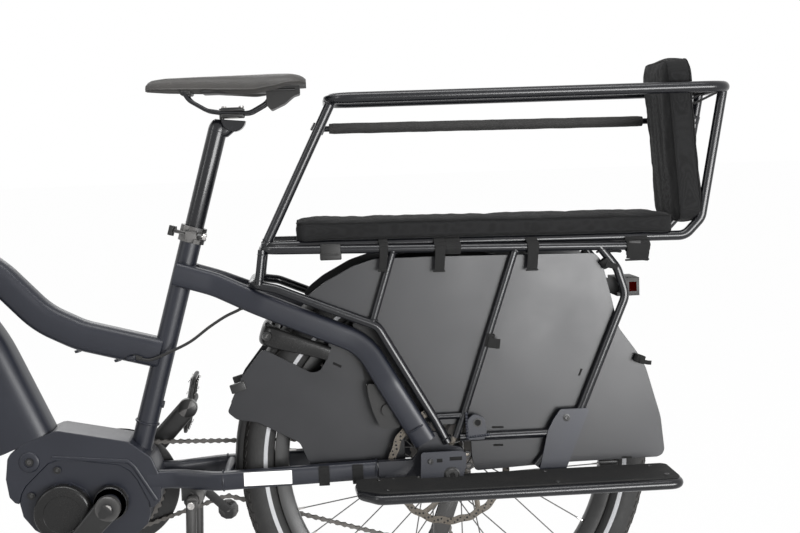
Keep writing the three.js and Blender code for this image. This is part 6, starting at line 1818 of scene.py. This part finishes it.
def makeFoamBar():
    bm = bmesh.new()
    y, barEnds = foam["y"], (foam["barFront"], foam["barRear"])
    sweep(bm, [at(x, y, z) for x, z in barEnds], foam["core"], count=20)
    for x, z in barEnds:
        tube(bm, [at(x, y, z), at(x, y - 10, z)], 7.2, count=24)
        turned(bm, [(8.4, -7), (11, -7), (11.6, -6), (11.6, 6), (11, 7), (8.4, 7)], at(x - 1, y - 17, z),
               Vector((0.25 if x > 0 else 0.45, 0, 0.9)), 28, True)
    newPiece("foamBarCore", bm, "tube", "frame", ("foam_bar",))
    bm = bmesh.new()
    front, rear = [at(x, y, z) for x, z in (foam["front"], foam["rear"])]
    route, sizes = [], []
    for k in range(foam["steps"] + 1):
        sag = 0.5 * noise.noise(Vector((k * 0.35, 1, 0))), 0.6 * noise.noise(Vector((k * 0.3, 2, 0)))
        route.append(lerp(front, rear, k / foam["steps"]) + Vector((0, mm(sag[0]), mm(sag[1]))))
        sizes.append((0.93 if k in (0, foam["steps"]) else 1) + 0.03 * noise.noise(Vector((k * 0.6, 5, 0))))
    sweep(bm, route, foam["radius"], count=28, sizes=sizes)
    piece = newPiece("foamSleeve", bm, "foam", "frame")


def band(bm, route, width, side=backwards, thick=1.6):
    # Flat webbing drawn along a route, its width lying along side
    sweep(bm, route, width / 2, thick / 2, 6, 12, side=side)


def strapRound(bm, middle, heading, radius, width, gap=1, thick=1.6):
    # Webbing wound round a tube, its end lying on its start
    heading = heading.normalized()
    y = heading.cross(across).normalized()
    steps = 28
    route = []
    for k in range(steps + 1):
        angle = 2 * pi * k / steps
        reach = mm(radius + gap + k / steps * thick * 0.9)
        route.append(middle + across * cos(angle) * reach + y * sin(angle) * reach)
    band(bm, route, width, heading, thick)


# Straps that hold the bench: place along the rack, width, and how far the loose end hangs
benchStraps = [
    {"x": -96, "width": 14, "tail": 34}, {"x": -6, "width": 18, "tail": 36}, {"x": 15, "width": 24, "tail": 0},
    {"x": 143, "width": 19, "tail": 36}, {"x": 314, "width": 38, "tail": 22},
]


# Straps on the struts: x, z, the strut's heading, its radius, and the strap's width
strutStraps = ((68, 548, (0.28, 0, 0.96), 5.6, 22), (314, 506, (0.36, 0, 0.93), 6.4, 13),
               (262, 665, (-0.55, 0, 0.83), 6.6, 15))
# Section of the straps round the chainstay, as (y, z)
stayLoop = ((70.4, 337), (70.4, 352), (46, 353), (45.6, 322), (70.4, 321), (70.6, 337))


def makeStraps():
    for name, sign in sides.items():
        bm = bmesh.new()
        for strap in benchStraps:
            x = strap["x"]
            z = rackZ(x)
            width, tail = strap["width"], strap["tail"]
            strapRound(bm, at(x, sign * 78, z), Vector((1, 0, -0.027)), 7, width)
            if tail:
                path = [at(x, sign * 86.6, z + 4), at(x - 1, sign * 87.4, z - tail * 0.4),
                        at(x - 3, sign * 86, z - tail)]
                band(bm, smoothRoute(path, 5), width - 2)
                roundedBox(bm, at(x - 3, sign * 86.6, z - tail), (width + 1, 3.6, 3), 0.8)
            # The band rises over the bench tube to the cushion
            path = [at(x, sign * 78, z + 8.6), at(x, sign * 72, z + 12), at(x, sign * 66, z + 15.5)]
            band(bm, smoothRoute(path, 5), width)
        for x, z, way, radius, width in strutStraps:
            strapRound(bm, at(x, sign * 78, z), Vector(way), radius, width)
            out = 79 + radius
            path = [at(x - 2, sign * (out + 2.4), z - 2), at(x + 10, sign * (out + 3), z - 5),
                    at(x + 17, sign * (out + 1.6), z - 6)]
            band(bm, smoothRoute(path, 4), width - 6, Vector((0.2, 0, 1)).normalized())
        newPiece("rackStraps" + name, bm, "strap", "frame")
        bm = bmesh.new()
        for x, wide in ((-180, 34), (308, 22)):
            z = rackZ(x)
            roundedBox(bm, at(x, sign * 78, z - 10), (wide, 17, 13), 2)
            roundedBox(bm, at(x, sign * 84, z - 1), (wide * 0.94, 5, 20), 1.6)
        newPiece("rackClamps" + name, bm, "plastic", "frame")
        bm = bmesh.new()
        for x in (-204.5, -150):
            band(bm, bend([at(x, sign * y, z) for y, z in stayLoop], 5, 4), 17.2)
        newPiece("stayStraps" + name, bm, "strap", "frame")
    bm = bmesh.new()
    for sign in sides.values():
        path = [at(x, sign * 48, z) for x, z in ((416, 914), (434, 922), (452, 930), (462, 934))]
        band(bm, smoothRoute(path, 5), 26, across, 1.8)
    newPiece("backrestStraps", bm, "strap", "frame")


def makeSticker():
    bm = bmesh.new()
    roundedBox(bm, at(-295, -68.8, 338.3), (77, 1.2, 22), 0.3)
    newPiece("whitePatch", bm, "patch", "frame")


makeCushion("seat")
makeCushion("back")
makeFoamBar()
makeStraps()
makeSticker()
print("cushions, foam bar and straps made")


# Floor, light and camera
def whiteShare(tree, kinds):
    # A socket that is 1 for the named kinds of ray, otherwise 0
    path = tree.nodes.new("ShaderNodeLightPath")
    total = path.outputs[kinds[0]]
    for kind in kinds[1:]:
        more = tree.nodes.new("ShaderNodeMath")
        more.operation = "MAXIMUM"
        tree.links.new(total, more.inputs[0])
        tree.links.new(path.outputs[kind], more.inputs[1])
        total = more.outputs[0]
    return total


whiteRays = ("Is Camera Ray", "Is Glossy Ray", "Is Transmission Ray")


def makeFloor():
    # Camera rays find it nearly white, the light that falls on the bike finds its paint
    bm = bmesh.new()
    bmesh.ops.create_grid(bm, x_segments=1, y_segments=1, size=60)
    bmesh.ops.translate(bm, vec=upwards * mm(-0.5), verts=bm.verts[:])
    mesh = meshFrom("floor", bm)
    floor = linked("floor", mesh)
    paint = Paint("paleFloor", Roughness=0.8)
    paint.finish(Base_Color=paint.blend(paint.noise(3, 3, 0.5), (0.86, 0.86, 0.86, 1), (0.9, 0.9, 0.9, 1)))
    white = paint.node("ShaderNodeEmission", {}, {"Color": (1, 1, 1, 1), "Strength": 1.0})
    seen = Wire(paint, whiteShare(paint.tree, whiteRays))
    mixed = paint.node("ShaderNodeMixShader", {}, {0: seen * 0.985, 1: Wire(paint, paint.shader.outputs[0]), 2: white})
    paint.tree.links.new(mixed.socket, paint.tree.nodes["Material Output"].inputs["Surface"])
    mesh.materials.append(paint.material)


def makeWorld():
    world = bpy.data.worlds.new("studio")
    world.use_nodes = True
    bpy.context.scene.world = world
    tree = world.node_tree
    strength = tree.nodes.new("ShaderNodeMapRange")
    tree.links.new(whiteShare(tree, whiteRays), strength.inputs["Value"])
    strength.inputs["To Min"].default_value = 0.22
    strength.inputs["To Max"].default_value = 1.0
    tree.links.new(strength.outputs["Result"], tree.nodes["Background"].inputs["Strength"])
    tree.nodes["Background"].inputs["Color"].default_value = (1, 1, 1, 1)


# Soft panels: place and target in metres, width and height in metres, power in watts
panels = {
    "rightPanel": ((1.95, -2.6, 0.5), (0.9, 0, 0.45), (2.1, 0.95), 120),
    "topPanel": ((0.1, -0.5, 3.0), (0.3, 0, 0.5), (3.4, 0.7), 60),
    "leftPanel": ((-2.6, -1.6, 1.9), (-0.1, 0, 0.6), (0.5, 1.6), 14),
    "backPanel": ((-0.8, 2.8, 2.1), (0.2, 0, 0.6), (2.4, 1.2), 24),
}


def addPanels():
    for name, (place, target, (width, height), power) in panels.items():
        data = bpy.data.lights.new(name, "AREA")
        data.shape = "RECTANGLE"
        data.size, data.size_y = width, height
        data.energy = power
        lamp = linked(name, data)
        lamp.location = place
        lamp.rotation_euler = (Vector(target) - Vector(place)).to_track_quat("-Z", "Y").to_euler()


# Fitted to the photograph: place in metres, turns in radians, lens in millimetres
cameraFit = {"place": (0.3461, -1.9949, 0.84455), "yaw": 0.0702, "pitch": -0.0893, "roll": -0.0353, "lens": 54.54}


def addCamera():
    yaw, pitch, roll = cameraFit["yaw"], cameraFit["pitch"], cameraFit["roll"]
    forward = Vector((sin(yaw) * cos(pitch), cos(yaw) * cos(pitch), sin(pitch)))
    level = Vector((cos(yaw), -sin(yaw), 0))
    lift = level.cross(forward)
    x = level * cos(roll) + lift * sin(roll)
    y = lift * cos(roll) - level * sin(roll)
    data = bpy.data.cameras.new("photoCamera")
    data.sensor_width = 36
    data.lens = cameraFit["lens"]
    data.clip_start = 0.05
    camera = linked("photoCamera", data)
    turn = Matrix((x, y, -forward)).transposed().to_4x4()
    turn.translation = Vector(cameraFit["place"])
    camera.matrix_world = turn
    bpy.context.scene.camera = camera


makeFloor()
makeWorld()
addPanels()
addCamera()
bpy.context.scene.view_settings.view_transform = "Standard"
print("floor, light and camera set")
